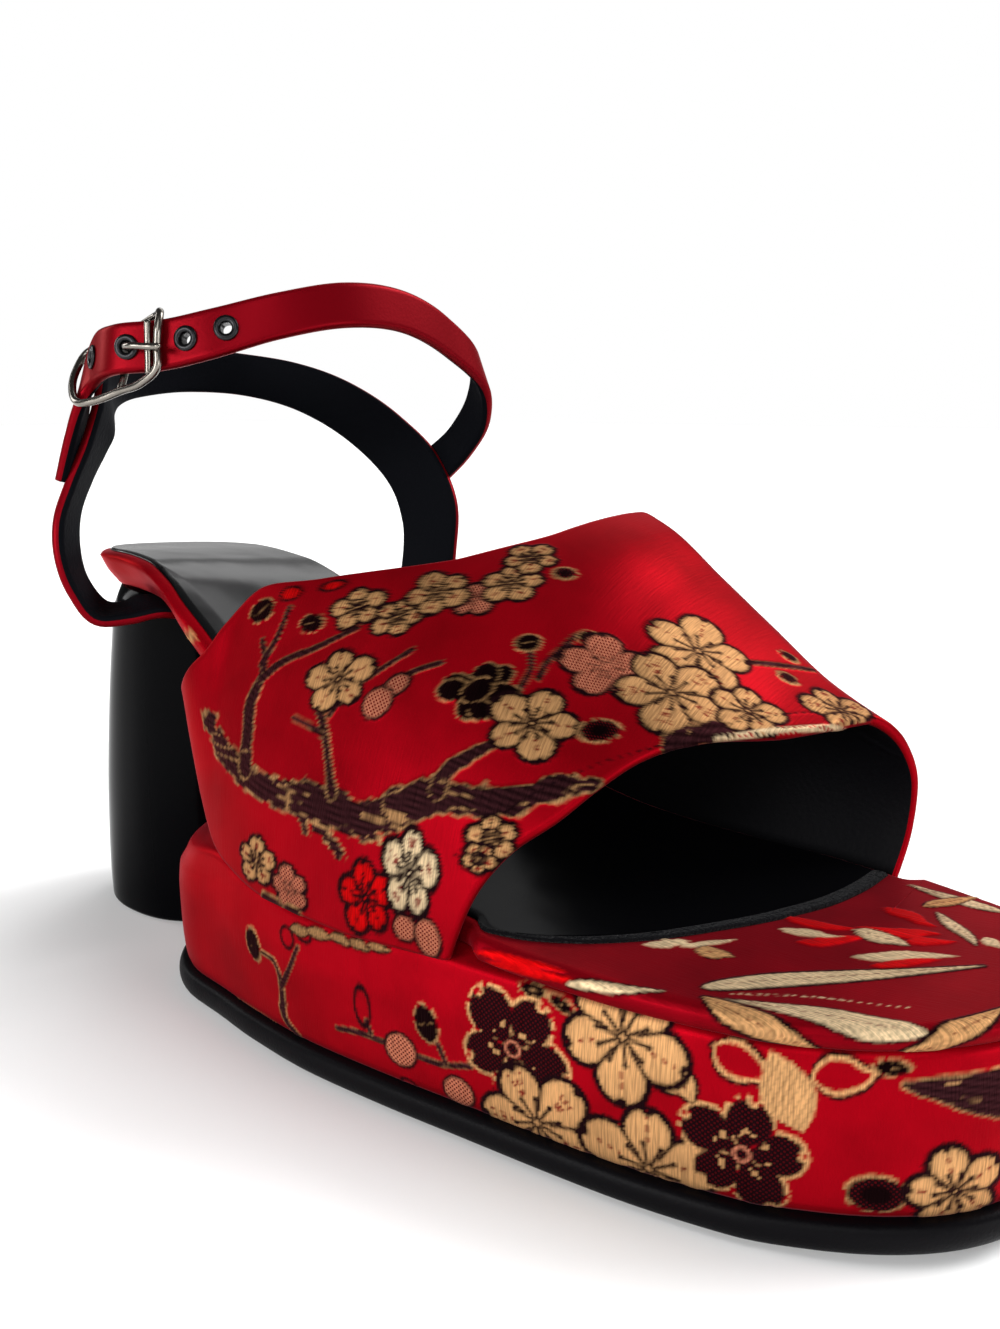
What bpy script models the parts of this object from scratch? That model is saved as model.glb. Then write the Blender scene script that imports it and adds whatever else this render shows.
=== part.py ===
"""Platform sandal, right shoe: covered platform, wide vamp, block heel and a buckled ankle strap.

X points to the wearer's right (the outer side), Y from heel to toe, Z up, metres.
Tables are in millimetres; a station is the distance forward from the back of the heel.
"""
import math

import bmesh
import bpy
import numpy as np
from mathutils import Vector

for item in list(bpy.data.objects):
    bpy.data.objects.remove(item, do_unlink=True)

MM = 0.001
MID_STATION = 127.0
GAP = 0.3

TOE_STATION = 253.5
TOE_RADIUS = 43.4
TOE_POWER = 2.3
PLATFORM_BACK = 51.5
PLATFORM_BACK_RADIUS = 27.0
PLATFORM_BACK_POWER = 2.4
HEEL_SEAT_BACK = 10.5
HEEL_SEAT_RADIUS = 24.0
HEEL_SEAT_POWER = 2.5
HEEL_SEAT_TILT = 5.4

OUTSOLE_THICKNESS = 6.0
OUTSOLE_FLANGE = 1.8
TOE_SPRING = 3.1
SPRING_START = 205.0
SPRING_RUN = 47.0

VAMP_WALL = 2.4
VAMP_OVERHANG = 0.8
VAMP_INNER_BULGE = 5.5
SOCK_THICKNESS = 0.9
SOCK_INSET = 2.6
SOCK_GAP = 0.5

STRAP_THICKNESS = 2.8
EYELET_HOLE = 2.05
EYELET_BORE = 1.25
EYELET_TUBE = 1.72
EYELET_FLANGE = 2.75
EYELET_FLANGE_THICKNESS = 0.5

WIRE_RADIUS = 0.9
PRONG_RADIUS = 0.75


def table(columns, rows):
    """Rows of numbers with named columns."""
    data = np.array(rows, dtype=float)
    return {name: data[:, i] for i, name in enumerate(columns.split())}


# Wall line of the platform: half-widths to the outer and inner side, height of its top edge.
WALL = table("station outer inner top", [
    (50, 41.0, 27.5, 36.4),
    (70, 43.5, 27.5, 37.6),
    (85, 45.5, 28.0, 39.2),
    (100, 48.0, 29.5, 36.6),
    (120, 49.6, 32.0, 34.6),
    (140, 48.9, 35.0, 35.2),
    (155, 47.8, 37.0, 36.0),
    (190, 44.9, 38.6, 36.0),
    (212, 40.9, 35.8, 36.1),
    (225, 37.5, 33.6, 36.6),
    (240, 35.0, 31.4, 38.0),
    (262, 33.2, 29.4, 40.2),
])

# Footbed: height of its top, thickness, half-widths behind the platform's front.
BED = table("station top thickness outer inner", [
    (10, 101.0, 8.5, 28.0, 26.5),
    (30, 101.0, 8.5, 28.6, 27.0),
    (45, 100.0, 8.5, 30.2, 27.2),
    (57, 96.5, 8.2, 32.4, 27.0),
    (66, 91.5, 7.6, 34.4, 26.8),
    (74, 86.0, 7.0, 35.4, 26.8),
    (85, 78.0, 6.4, 37.2, 27.0),
    (100, 67.0, 5.6, 40.6, 27.6),
    (120, 55.0, 5.0, 44.4, 29.6),
    (140, 46.5, 4.8, 45.4, 32.0),
    (155, 43.0, 4.7, 44.6, 33.8),
    (170, 41.3, 4.7, 43.6, 35.3),
    (190, 40.8, 4.7, 41.7, 35.4),
    (212, 40.8, 4.6, 37.7, 32.6),
    (225, 41.1, 4.4, 34.3, 30.4),
    (240, 42.5, 4.4, 31.8, 28.2),
    (262, 44.7, 4.4, 30.0, 26.2),
])
FLUSH_OUTER = (157.0, 162.0)
FLUSH_INNER = (213.5, 218.0)

# Front line of the sock lining across the footbed (across: -1 inner edge, +1 outer edge).
SOCK_FRONT = table("across station", [
    (-1.0, 211.0),
    (-0.75, 210.5),
    (-0.4, 208.5),
    (0.0, 203.5),
    (0.35, 195.0),
    (0.7, 183.0),
    (0.93, 169.0),
    (1.0, 160.0),
])

# Heel block, from the floor up: back and front station, half-width, rounding powers.
HEEL = table("height back front half back_power front_power", [
    (0.0, 0.2, 48.0, 23.2, 2.3, 2.2),
    (1.6, -1.4, 49.6, 24.8, 2.3, 2.2),
    (10.0, -1.4, 50.0, 25.0, 2.3, 2.2),
    (30.0, 0.0, 50.6, 25.0, 2.3, 2.2),
    (55.0, 3.6, 51.4, 24.8, 2.3, 2.2),
    (75.0, 7.4, 52.2, 24.4, 2.3, 2.2),
    (86.0, 10.0, 52.6, 24.0, 2.3, 2.2),
    (93.0, 14.0, 53.0, 23.4, 2.3, 2.2),
])

# Vamp: feet and crown of each cross-section.
VAMP = table("station outer_foot outer_base inner_base crown_x crown", [
    (64, 37.0, 82.0, 42.0, -27.0, 150.0),
    (70, 39.6, 74.0, 42.0, -27.0, 146.0),
    (75, 41.8, 63.0, 41.0, -27.0, 143.0),
    (81, 44.0, 49.5, 41.0, -27.0, 140.0),
    (86, 45.6, 42.0, 40.6, -28.0, 137.0),
    (91, 46.9, 39.4, 39.6, -28.0, 134.0),
    (107, 49.3, 35.8, 35.8, -28.0, 126.5),
    (130, 50.2, 35.2, 35.2, -28.0, 120.0),
    (147, 49.2, 35.9, 35.9, -28.0, 115.2),
    (157, 48.5, 36.3, 36.3, -28.0, 110.6),
    (169, 47.7, 36.3, 36.3, -28.0, 101.2),
    (182, 46.5, 36.3, 36.3, -28.0, 91.0),
    (195, 44.8, 36.3, 36.3, -28.0, 81.0),
    (207, 42.6, 36.4, 36.4, -28.0, 74.8),
    (216, 40.6, 36.7, 36.7, -28.0, 71.0),
])
# Edges of the vamp by the angle round the section (0 outer foot, 90 crown, 180 inner foot).
VAMP_EDGE = table("angle rear front", [
    (0, 69.0, 155.5),
    (10, 73.5, 160.0),
    (19, 79.0, 166.0),
    (28, 84.5, 173.5),
    (37, 92.0, 178.5),
    (45, 107.0, 182.5),
    (58, 132.0, 190.5),
    (71, 146.0, 199.5),
    (85, 151.0, 205.0),
    (100, 151.0, 208.5),
    (120, 142.5, 211.5),
    (140, 127.0, 213.0),
    (160, 112.0, 212.5),
    (180, 101.0, 211.0),
])

# Ankle strap, back band: both edges of the ribbon, from the outer anchor round the heel to the inner one.
BACK_BAND = table("ax as_ az bx bs bz", [
    (25.4, 54.4, 87.3, 22.8, 41.8, 89.6),
    (30.6, 52.0, 88.0, 26.8, 38.6, 89.9),
    (35.6, 46.5, 86.6, 29.0, 34.2, 88.0),
    (41.0, 41.5, 86.4, 31.4, 30.6, 88.4),
    (45.0, 38.0, 93.5, 34.4, 27.0, 94.8),
    (46.5, 36.0, 102.0, 35.4, 26.2, 103.0),
    (45.5, 35.0, 110.0, 34.0, 25.6, 111.0),
    (41.5, 35.0, 119.0, 30.0, 25.8, 119.4),
    (37.0, 36.5, 129.0, 26.2, 26.8, 126.0),
    (33.0, 37.0, 139.5, 24.4, 27.6, 129.5),
    (27.5, 32.0, 148.5, 22.0, 24.6, 134.2),
    (18.0, 23.0, 151.8, 13.5, 17.6, 137.6),
    (4.0, 15.5, 152.6, 1.0, 12.8, 139.6),
    (-12.0, 13.0, 152.6, -13.0, 12.4, 140.6),
    (-26.0, 19.0, 151.4, -26.0, 18.4, 139.8),
    (-34.0, 34.0, 148.6, -33.0, 34.0, 135.6),
    (-39.0, 50.0, 143.0, -38.0, 50.4, 126.6),
    (-42.5, 65.0, 134.0, -40.6, 62.8, 115.0),
    (-43.5, 77.0, 124.0, -41.6, 66.4, 105.0),
    (-43.0, 84.0, 112.0, -40.4, 67.6, 98.0),
    (-40.0, 86.0, 99.0, -38.0, 68.4, 90.0),
    (-36.0, 86.5, 84.0, -35.0, 69.6, 82.0),
    (-31.6, 86.6, 69.6, -31.4, 70.6, 76.4),
    (-28.4, 86.6, 65.0, -28.2, 71.2, 73.0),
    (-22.6, 86.6, 64.7, -22.6, 71.6, 73.2),
])
# Ankle strap, front band: both edges, from the inner fork round the front to the hanging tip.
FRONT_BAND = table("ax as_ az bx bs bz", [
    (-43.0, 70.6, 124.6, -42.6, 78.0, 116.4),
    (-42.8, 82.0, 131.8, -42.6, 88.0, 123.8),
    (-41.6, 90.2, 140.6, -42.4, 95.0, 131.4),
    (-36.4, 95.4, 149.4, -38.2, 98.4, 139.2),
    (-23.4, 96.2, 158.4, -24.8, 98.2, 147.8),
    (-9.0, 95.4, 163.2, -9.0, 97.2, 153.4),
    (6.6, 92.4, 163.8, 7.4, 94.2, 154.0),
    (19.5, 85.6, 161.2, 20.5, 86.6, 151.2),
    (29.0, 75.5, 157.8, 31.0, 76.5, 147.0),
    (34.6, 65.5, 155.6, 35.8, 65.5, 144.6),
    (39.8, 55.0, 154.6, 41.4, 55.0, 143.6),
    (36.4, 43.0, 152.0, 39.4, 44.6, 141.0),
    (33.6, 34.0, 143.4, 41.2, 41.6, 137.2),
    (33.0, 29.6, 132.0, 42.2, 37.6, 129.6),
    (32.6, 26.6, 121.4, 43.0, 33.2, 119.6),
])
EYELET_STATIONS = (78.5, 71.0, 58.8, 46.6)

# Buckle frame, a bent oblong of wire: centre line through its corners and mid-sides.
BUCKLE = table("x station height", [
    (38.3, 66.0, 150.0),
    (38.0, 66.2, 154.4),
    (36.0, 65.4, 157.3),
    (33.8, 60.6, 156.0),
    (34.4, 55.0, 153.6),
    (33.0, 46.4, 152.8),
    (35.2, 42.4, 154.0),
    (39.2, 41.6, 151.6),
    (41.8, 42.2, 146.0),
    (43.0, 43.4, 140.6),
    (42.8, 46.6, 138.4),
    (40.6, 55.0, 140.0),
    (39.0, 62.6, 142.0),
    (38.7, 66.0, 144.6),
])


def follow(tab, key, name, at):
    """Cubic through one column against another, with slopes that never overshoot."""
    x = tab[key]
    y = tab[name]
    at = np.clip(np.asarray(at, dtype=float), x[0], x[-1])
    h = np.diff(x)
    d = np.diff(y) / h
    m = np.zeros(len(x))
    m[0] = d[0]
    m[-1] = d[-1]
    for i in range(1, len(x) - 1):
        if d[i - 1] * d[i] > 0:
            w1 = 2 * h[i] + h[i - 1]
            w2 = h[i] + 2 * h[i - 1]
            m[i] = (w1 + w2) / (w1 / d[i - 1] + w2 / d[i])
    k = np.clip(np.searchsorted(x, at, side="right") - 1, 0, len(x) - 2)
    t = (at - x[k]) / h[k]
    a = (1 + 2 * t) * (1 - t) ** 2 * y[k] + t * (1 - t) ** 2 * h[k] * m[k]
    b = t * t * (3 - 2 * t) * y[k + 1] - t * t * (1 - t) * h[k] * m[k + 1]
    return a + b


def glide(points, count, closed=False):
    """Evenly spaced points along a smooth curve through a few rows."""
    p = np.asarray(points, dtype=float)
    if closed:
        p = np.vstack([p[-2:], p, p[:3]])
    d = np.concatenate([[0], np.cumsum(np.linalg.norm(np.diff(p, axis=0), axis=1))])
    m = np.gradient(p, d, axis=0)
    first, last = (2, len(p) - 3) if closed else (0, len(p) - 1)
    fine = np.linspace(d[first], d[last], 40 * len(p))
    k = np.clip(np.searchsorted(d, fine, side="right") - 1, 0, len(p) - 2)
    h = (d[k + 1] - d[k])[:, None]
    t = ((fine - d[k]) / h[:, 0])[:, None]
    q = (1 + 2 * t) * (1 - t) ** 2 * p[k] + t * (1 - t) ** 2 * h * m[k]
    q = q + t * t * (3 - 2 * t) * p[k + 1] - t * t * (1 - t) * h * m[k + 1]
    run = np.concatenate([[0], np.cumsum(np.linalg.norm(np.diff(q, axis=0), axis=1))])
    even = np.linspace(0, run[-1], count + 1 if closed else count)
    out = np.stack([np.interp(even, run, q[:, i]) for i in range(q.shape[1])], axis=1)
    return out[:-1] if closed else out


def ease(value, low, high):
    """0 below low, 1 above high, smooth between."""
    t = np.clip((np.asarray(value, dtype=float) - low) / (high - low), 0, 1)
    return t * t * (3 - 2 * t)


def spring(station):
    """Lift of the tread towards the toe."""
    return TOE_SPRING * np.clip((np.asarray(station, dtype=float) - SPRING_START) / SPRING_RUN, 0, None) ** 2


def material(name, colour, roughness, metallic=0.0):
    mat = bpy.data.materials.new(name)
    mat.use_nodes = True
    shader = mat.node_tree.nodes["Principled BSDF"]
    shader.inputs["Base Color"].default_value = (*colour, 1.0)
    shader.inputs["Roughness"].default_value = roughness
    shader.inputs["Metallic"].default_value = metallic
    return mat


def make(name, verts, faces, mat):
    """One closed object from points in millimetres (x, station, height)."""
    pts = [(v[0] * MM, (v[1] - MID_STATION) * MM, v[2] * MM) for v in verts]
    mesh = bpy.data.meshes.new(name)
    mesh.from_pydata(pts, [], [tuple(int(i) for i in f) for f in faces])
    bm = bmesh.new()
    bm.from_mesh(mesh)
    bmesh.ops.recalc_face_normals(bm, faces=bm.faces)
    bm.to_mesh(mesh)
    bm.free()
    obj = bpy.data.objects.new(name, mesh)
    bpy.context.scene.collection.objects.link(obj)
    mesh.materials.append(mat)
    return obj


def stations(back, back_radius, back_power, front, front_radius, front_power, middle):
    """Stations along a rounded outline and the share of the half-width at each."""
    phi = np.linspace(0, math.pi / 2, 13)
    s_back = back + back_radius * (1 - np.cos(phi) ** (2 / back_power))
    k_back = np.sin(phi) ** (2 / back_power)
    s_mid = np.linspace(back + back_radius, front - front_radius, middle + 2)[1:-1]
    s_front = front - front_radius + front_radius * np.sin(phi) ** (2 / front_power)
    k_front = np.cos(phi) ** (2 / front_power)
    k_back[0] = 0
    k_front[-1] = 0
    return (np.concatenate([s_back, s_mid, s_front]),
            np.concatenate([k_back, np.ones(middle), k_front]))


def prism(name, s, outer, inner, levels, mat):
    """Upright solid: a mirrored-index outline repeated at levels of (inset, height) and capped."""
    n = len(s)
    ring = np.vstack([np.stack([outer, s], 1), np.stack([-inner, s], 1)[n - 2:0:-1]])
    step = np.roll(ring, -1, axis=0) - np.roll(ring, 1, axis=0)
    normal = np.stack([-step[:, 1], step[:, 0]], 1)
    normal = normal / np.linalg.norm(normal, axis=1)[:, None]
    middle = ring.mean(axis=0)
    if ((ring - middle) * normal).sum() < 0:
        normal = -normal
    count = len(ring)
    verts = []
    for inset, height in levels:
        inset_here = inset(ring[:, 1]) if callable(inset) else inset
        plan = ring - normal * np.reshape(inset_here * np.ones(count), (-1, 1))
        z = height(plan[:, 1], plan[:, 0])
        verts.append(np.column_stack([plan, z]))
    faces = []
    for j in range(len(levels) - 1):
        for i in range(count):
            k = (i + 1) % count
            faces.append((j * count + i, j * count + k, (j + 1) * count + k, (j + 1) * count + i))
    for base in (0, (len(levels) - 1) * count):
        for i in range(n - 1):
            a, b = i, i + 1
            c, d = (count - b) % count, (count - a) % count
            if b == n - 1:
                c = b
            loop = []
            for v in (a, b, c, d):
                if v not in loop:
                    loop.append(v)
            faces.append([base + v for v in loop])
    return make(name, np.vstack(verts), faces, mat)


def wall(s, k):
    outer = follow(WALL, "station", "outer", s) * k
    inner = follow(WALL, "station", "inner", s) * k
    return outer, inner


def bed_top(s, x):
    """Height of the footbed; its heel leans a little towards the inner side."""
    tilt = HEEL_SEAT_TILT * (0.7 + 0.3 * ease(s, 15.0, 50.0)) * (1 - ease(s, 70.0, 120.0))
    return follow(BED, "station", "top", s) - tilt * np.clip((28.0 - x) / 55.0, 0, 1)


def bed_under(s, x):
    return bed_top(s, x) - follow(BED, "station", "thickness", s)


def bed_half(s, k):
    """Half-widths of the footbed: let in under the vamp, flush with the wall at the toe."""
    wide_o = follow(WALL, "station", "outer", s) - 0.1
    wide_i = follow(WALL, "station", "inner", s) - 0.1
    free_o = ease(s, *FLUSH_OUTER)
    free_i = ease(s, *FLUSH_INNER)
    outer = follow(BED, "station", "outer", s) * (1 - free_o) + wide_o * free_o
    inner = follow(BED, "station", "inner", s) * (1 - free_i) + wide_i * free_i
    return outer * k, inner * k


RED = (0.42, 0.012, 0.02)
BLACK = (0.012, 0.012, 0.014)


def build_outsole():
    s, k = stations(PLATFORM_BACK, PLATFORM_BACK_RADIUS, PLATFORM_BACK_POWER,
                    TOE_STATION, TOE_RADIUS, TOE_POWER, 15)
    outer, inner = wall(s, k)
    flange = OUTSOLE_FLANGE
    rise = OUTSOLE_THICKNESS
    steps = [(0.6, 0.0), (1.0 - flange, 0.35), (0.2 - flange, 1.7), (-flange, 3.2),
             (0.35 - flange, 4.8), (1.1 - flange, 5.75), (0.4, rise)]
    levels = [(inset, lambda t, x, h=h: spring(t) + h) for inset, h in steps]
    prism("outsole", s, outer, inner, levels, material("rubber", BLACK, 0.55))


def build_platform():
    s, k = stations(PLATFORM_BACK, PLATFORM_BACK_RADIUS, PLATFORM_BACK_POWER,
                    TOE_STATION, TOE_RADIUS, TOE_POWER, 15)
    outer, inner = wall(s, k)

    def low(t, x):
        return spring(t) + OUTSOLE_THICKNESS + GAP

    def top(t, x):
        return follow(WALL, "station", "top", t)

    def part(share):
        return lambda t, x: low(t, x) * (1 - share) + top(t, x) * share

    def lean(amount):
        return lambda t: amount * (1 + 4.5 * (1 - ease(t, PLATFORM_BACK, 92.0)))

    def seat(t, x):
        ramp = 41.0 + 31.0 * ease(t, 70.0, 96.0)
        return np.maximum(top(t, x), np.minimum(bed_under(t, x) - GAP, ramp))

    def tuck(extra):
        def inset(t):
            let_in = follow(WALL, "station", "outer", t) - follow(BED, "station", "outer", t)
            return np.clip(let_in, 3.8, 8.0) + extra + 6.0 * (1 - ease(t, PLATFORM_BACK, 92.0))
        return inset

    levels = [(0.9, low), (0.25, part(0.06)), (-0.35, part(0.3)), (-0.5, part(0.6)),
              (lean(0.3), part(0.86)), (lean(0.8), part(0.97)), (lean(1.5), top),
              (tuck(0.0), top), (tuck(1.2), seat)]
    prism("platform", s, outer, inner, levels, material("brocade_wall", RED, 0.45))


def build_insole():
    s, k = stations(HEEL_SEAT_BACK, HEEL_SEAT_RADIUS, HEEL_SEAT_POWER,
                    TOE_STATION - 0.1, TOE_RADIUS, TOE_POWER, 32)
    outer, inner = bed_half(s, k)

    def under(amount, tuck):
        return lambda t: amount + tuck * (1 - ease(t, 40.0, 90.0))

    def share(part):
        return lambda t, x: bed_under(t, x) * (1 - part) + bed_top(t, x) * part

    levels = [(under(1.8, 2.8), share(0.0)), (under(0.5, 3.2), share(0.12)), (under(0.0, 1.4), share(0.5)),
              (under(0.25, -0.15), lambda t, x: bed_top(t, x) - 1.3),
              (1.0, lambda t, x: bed_top(t, x) - 0.4),
              (2.2, bed_top)]
    prism("insole", s, outer, inner, levels, material("brocade_bed", RED, 0.45))


def build_sock():
    """Thin lining on the footbed, from the heel to a slanting front line."""
    rows = 28
    across = np.sin(np.linspace(-math.pi / 2, math.pi / 2, 9))
    upper = []
    for j in range(rows + 1):
        t = j / rows
        for u in across:
            round_off = 1 - (1 - abs(u) ** HEEL_SEAT_POWER) ** (1 / HEEL_SEAT_POWER)
            back = HEEL_SEAT_BACK + SOCK_INSET + (HEEL_SEAT_RADIUS - SOCK_INSET) * round_off
            front = float(follow(SOCK_FRONT, "across", "station", u))
            s = back * (1 - t) + front * t
            half_o, half_i = bed_half(s, 1.0)
            x = u * ((half_o if u > 0 else half_i) - SOCK_INSET)
            upper.append((x, s, float(bed_top(s, x)) + SOCK_GAP + SOCK_THICKNESS))
    upper = np.array(upper)
    lower = upper - np.array([0, 0, SOCK_THICKNESS])
    wide = len(across)
    total = len(upper)
    faces = []
    for j in range(rows):
        for i in range(wide - 1):
            a = j * wide + i
            faces.append((a, a + 1, a + wide + 1, a + wide))
            faces.append((total + a, total + a + wide, total + a + wide + 1, total + a + 1))
    rim = [i for i in range(wide)]
    rim += [j * wide + wide - 1 for j in range(1, rows + 1)]
    rim += [rows * wide + i for i in range(wide - 2, -1, -1)]
    rim += [j * wide for j in range(rows - 1, 0, -1)]
    for a, b in zip(rim, rim[1:] + rim[:1]):
        faces.append((a, b, total + b, total + a))
    make("insole_sock", np.vstack([upper, lower]), faces, material("sock_leather", BLACK, 0.5))


def build_heel():
    count = 40
    verts = []
    heights = HEEL["height"]
    for j, z in enumerate(heights):
        back, front, half = HEEL["back"][j], HEEL["front"][j], HEEL["half"][j]
        middle = back + 0.5 * (front - back)
        for i in range(count):
            phi = 2 * math.pi * i / count
            c, d = math.cos(phi), math.sin(phi)
            power = HEEL["front_power"][j] if d > 0 else HEEL["back_power"][j]
            x = half * math.copysign(abs(c) ** (2 / power), c)
            reach = front - middle if d > 0 else middle - back
            s = middle + reach * math.copysign(abs(d) ** (2 / power), d)
            top = z if j < len(heights) - 1 else float(bed_under(s, x)) - GAP
            verts.append((x, s, top))
    faces = []
    rings = len(heights)
    for j in range(rings - 1):
        for i in range(count):
            k = (i + 1) % count
            faces.append((j * count + i, j * count + k, (j + 1) * count + k, (j + 1) * count + i))
    half_count = count // 2
    for base in (0, (rings - 1) * count):
        for i in range(half_count):
            a, b = (i - count // 4) % count, (i + 1 - count // 4) % count
            c, d = (count // 2 - i - 1 + count // 4) % count, (count // 2 - i + count // 4) % count
            loop = []
            for v in (a, b, c, d):
                if v not in loop:
                    loop.append(v)
            faces.append([base + v for v in loop])
    make("heel", verts, faces, material("heel_lacquer", BLACK, 0.15))


def vamp_point(angle, s):
    """Outer face of the vamp at an angle round the section of a station."""
    crown_x = follow(VAMP, "station", "crown_x", s)
    crown = follow(VAMP, "station", "crown", s)
    foot_o = follow(VAMP, "station", "outer_foot", s)
    base_o = follow(VAMP, "station", "outer_base", s)
    base_i = follow(VAMP, "station", "inner_base", s)
    foot_i = -follow(WALL, "station", "inner", s) - VAMP_OVERHANG
    c, d = np.cos(angle), np.sin(angle)
    out = c >= 0
    rise = np.clip((math.pi - angle) / (math.pi / 2), 0, 1)
    swell = VAMP_INNER_BULGE * np.sin(math.pi * rise ** 0.7) ** 1.2
    x_in = crown_x + (foot_i - crown_x) * np.abs(c) ** 0.8 - swell
    x = np.where(out, crown_x + (foot_o - crown_x) * np.abs(c), x_in)
    base = np.where(out, base_o, base_i)
    return np.stack([x, s, base + (crown - base) * d], axis=-1)


def build_vamp():
    rows, cols = 38, 12
    angle = np.linspace(0, math.pi, rows + 1)
    rear = follow(VAMP_EDGE, "angle", "rear", np.degrees(angle))
    front = follow(VAMP_EDGE, "angle", "front", np.degrees(angle))
    t = np.linspace(0, 1, cols + 1)
    s = rear[:, None] * (1 - t) + front[:, None] * t
    face = vamp_point(np.repeat(angle[:, None], cols + 1, axis=1), s)
    du = np.gradient(face, axis=0)
    dv = np.gradient(face, axis=1)
    normal = np.cross(du, dv)
    normal = normal / np.linalg.norm(normal, axis=2)[:, :, None]
    if normal[rows // 2, cols // 2, 2] < 0:
        normal = -normal
    normal[0, :, 2] = 0
    normal[-1, :, 2] = 0
    normal = normal / np.linalg.norm(normal, axis=2)[:, :, None]
    lining = face - VAMP_WALL * normal
    wide = cols + 1
    verts = np.vstack([face.reshape(-1, 3), lining.reshape(-1, 3)])
    total = face.shape[0] * face.shape[1]
    faces = []
    for j in range(rows):
        for i in range(cols):
            a = j * wide + i
            faces.append((a, a + 1, a + wide + 1, a + wide))
            faces.append((total + a, total + a + wide, total + a + wide + 1, total + a + 1))
    rim = [i for i in range(wide)]
    rim += [j * wide + wide - 1 for j in range(1, rows + 1)]
    rim += [rows * wide + i for i in range(wide - 2, -1, -1)]
    rim += [j * wide for j in range(rows - 1, 0, -1)]
    for a, b in zip(rim, rim[1:] + rim[:1]):
        faces.append((a, b, total + b, total + a))
    make("vamp", verts, faces, material("brocade_vamp", RED, 0.45))


def ribbon_frames(tab, count):
    """Both edges of a ribbon and its unit normal at even steps."""
    rows = np.stack([tab[c] for c in ("ax", "as_", "az", "bx", "bs", "bz")], axis=1)
    path = glide(rows, count)
    a, b = path[:, :3], path[:, 3:]
    run = np.gradient((a + b) / 2, axis=0)
    normal = np.cross(run, a - b)
    return a, b, normal / np.linalg.norm(normal, axis=1)[:, None]


def ribbon(name, tab, count, thick, mat):
    """Flat ribbon with softened edges, swept between its two edge lines."""
    a, b, normal = ribbon_frames(tab, count)
    shape = [(0.0, 0.5), (0.07, 1.0), (0.93, 1.0), (1.0, 0.5),
             (1.0, -0.5), (0.93, -1.0), (0.07, -1.0), (0.0, -0.5)]
    size = len(shape)
    verts = []
    for p, q, n in zip(a, b, normal):
        for share, side in shape:
            verts.append(p * (1 - share) + q * share + n * side * thick / 2)
    faces = []
    for j in range(count - 1):
        for i in range(size):
            k = (i + 1) % size
            faces.append((j * size + i, j * size + k, (j + 1) * size + k, (j + 1) * size + i))
    for base in (0, (count - 1) * size):
        for i, j, k, m in ((0, 1, 6, 7), (1, 2, 5, 6), (2, 3, 4, 5)):
            faces.append((base + i, base + j, base + k, base + m))
    return make(name, verts, faces, mat)


def combine(target, tool, mode):
    """Boolean of two objects; the tool is removed."""
    step = target.modifiers.new("cut", "BOOLEAN")
    step.operation = mode
    step.solver = "EXACT"
    step.object = tool
    bpy.context.view_layer.update()
    mesh = bpy.data.meshes.new_from_object(target.evaluated_get(bpy.context.evaluated_depsgraph_get()))
    target.modifiers.clear()
    target.data = mesh
    bpy.data.objects.remove(tool, do_unlink=True)
    return target


def lathe(name, centre, axis, profile, sides, mat):
    """Ring turned about an axis from a closed profile of (radius, height) corners."""
    axis = np.asarray(axis) / np.linalg.norm(axis)
    side = np.array(Vector(axis).orthogonal().normalized())
    third = np.cross(axis, side)
    verts = []
    for i in range(sides):
        phi = 2 * math.pi * i / sides
        out = side * math.cos(phi) + third * math.sin(phi)
        for radius, height in profile:
            verts.append(np.asarray(centre) + out * radius + axis * height)
    size = len(profile)
    faces = []
    for i in range(sides):
        k = (i + 1) % sides
        for j in range(size):
            m = (j + 1) % size
            faces.append((i * size + j, k * size + j, k * size + m, i * size + m))
    return make(name, verts, faces, mat)


def rod(name, points, radius, sides, mat, closed=False):
    """Round wire along a line of points, ends closed unless it is a loop."""
    p = np.asarray(points, dtype=float)
    count = len(p)
    if closed:
        run = np.roll(p, -1, axis=0) - np.roll(p, 1, axis=0)
    else:
        run = np.gradient(p, axis=0)
    run = run / np.linalg.norm(run, axis=1)[:, None]
    side = np.array(Vector(run[0]).orthogonal())
    verts = []
    for i in range(count):
        side = side - run[i] * (side @ run[i])
        side = side / np.linalg.norm(side)
        third = np.cross(run[i], side)
        for j in range(sides):
            phi = 2 * math.pi * j / sides
            verts.append(p[i] + radius * (side * math.cos(phi) + third * math.sin(phi)))
    faces = []
    for i in range(count if closed else count - 1):
        n = (i + 1) % count
        for j in range(sides):
            k = (j + 1) % sides
            faces.append((i * sides + j, i * sides + k, n * sides + k, n * sides + j))
    if not closed:
        faces.append(tuple(range(sides)))
        faces.append(tuple((count - 1) * sides + j for j in range(sides)))
    return make(name, verts, faces, mat)


def strap_spot(station):
    """Middle of the front band at a station on its outer stretch, with its outward normal."""
    a, b, normal = ribbon_frames(FRONT_BAND, 400)
    middle = (a + b) / 2
    near = [i for i in range(len(middle)) if middle[i, 0] > 10 and middle[i, 2] > 145]
    i = min(near, key=lambda q: abs(middle[q, 1] - station))
    n = normal[i] if normal[i, 0] > 0 else -normal[i]
    return middle[i], n


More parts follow.
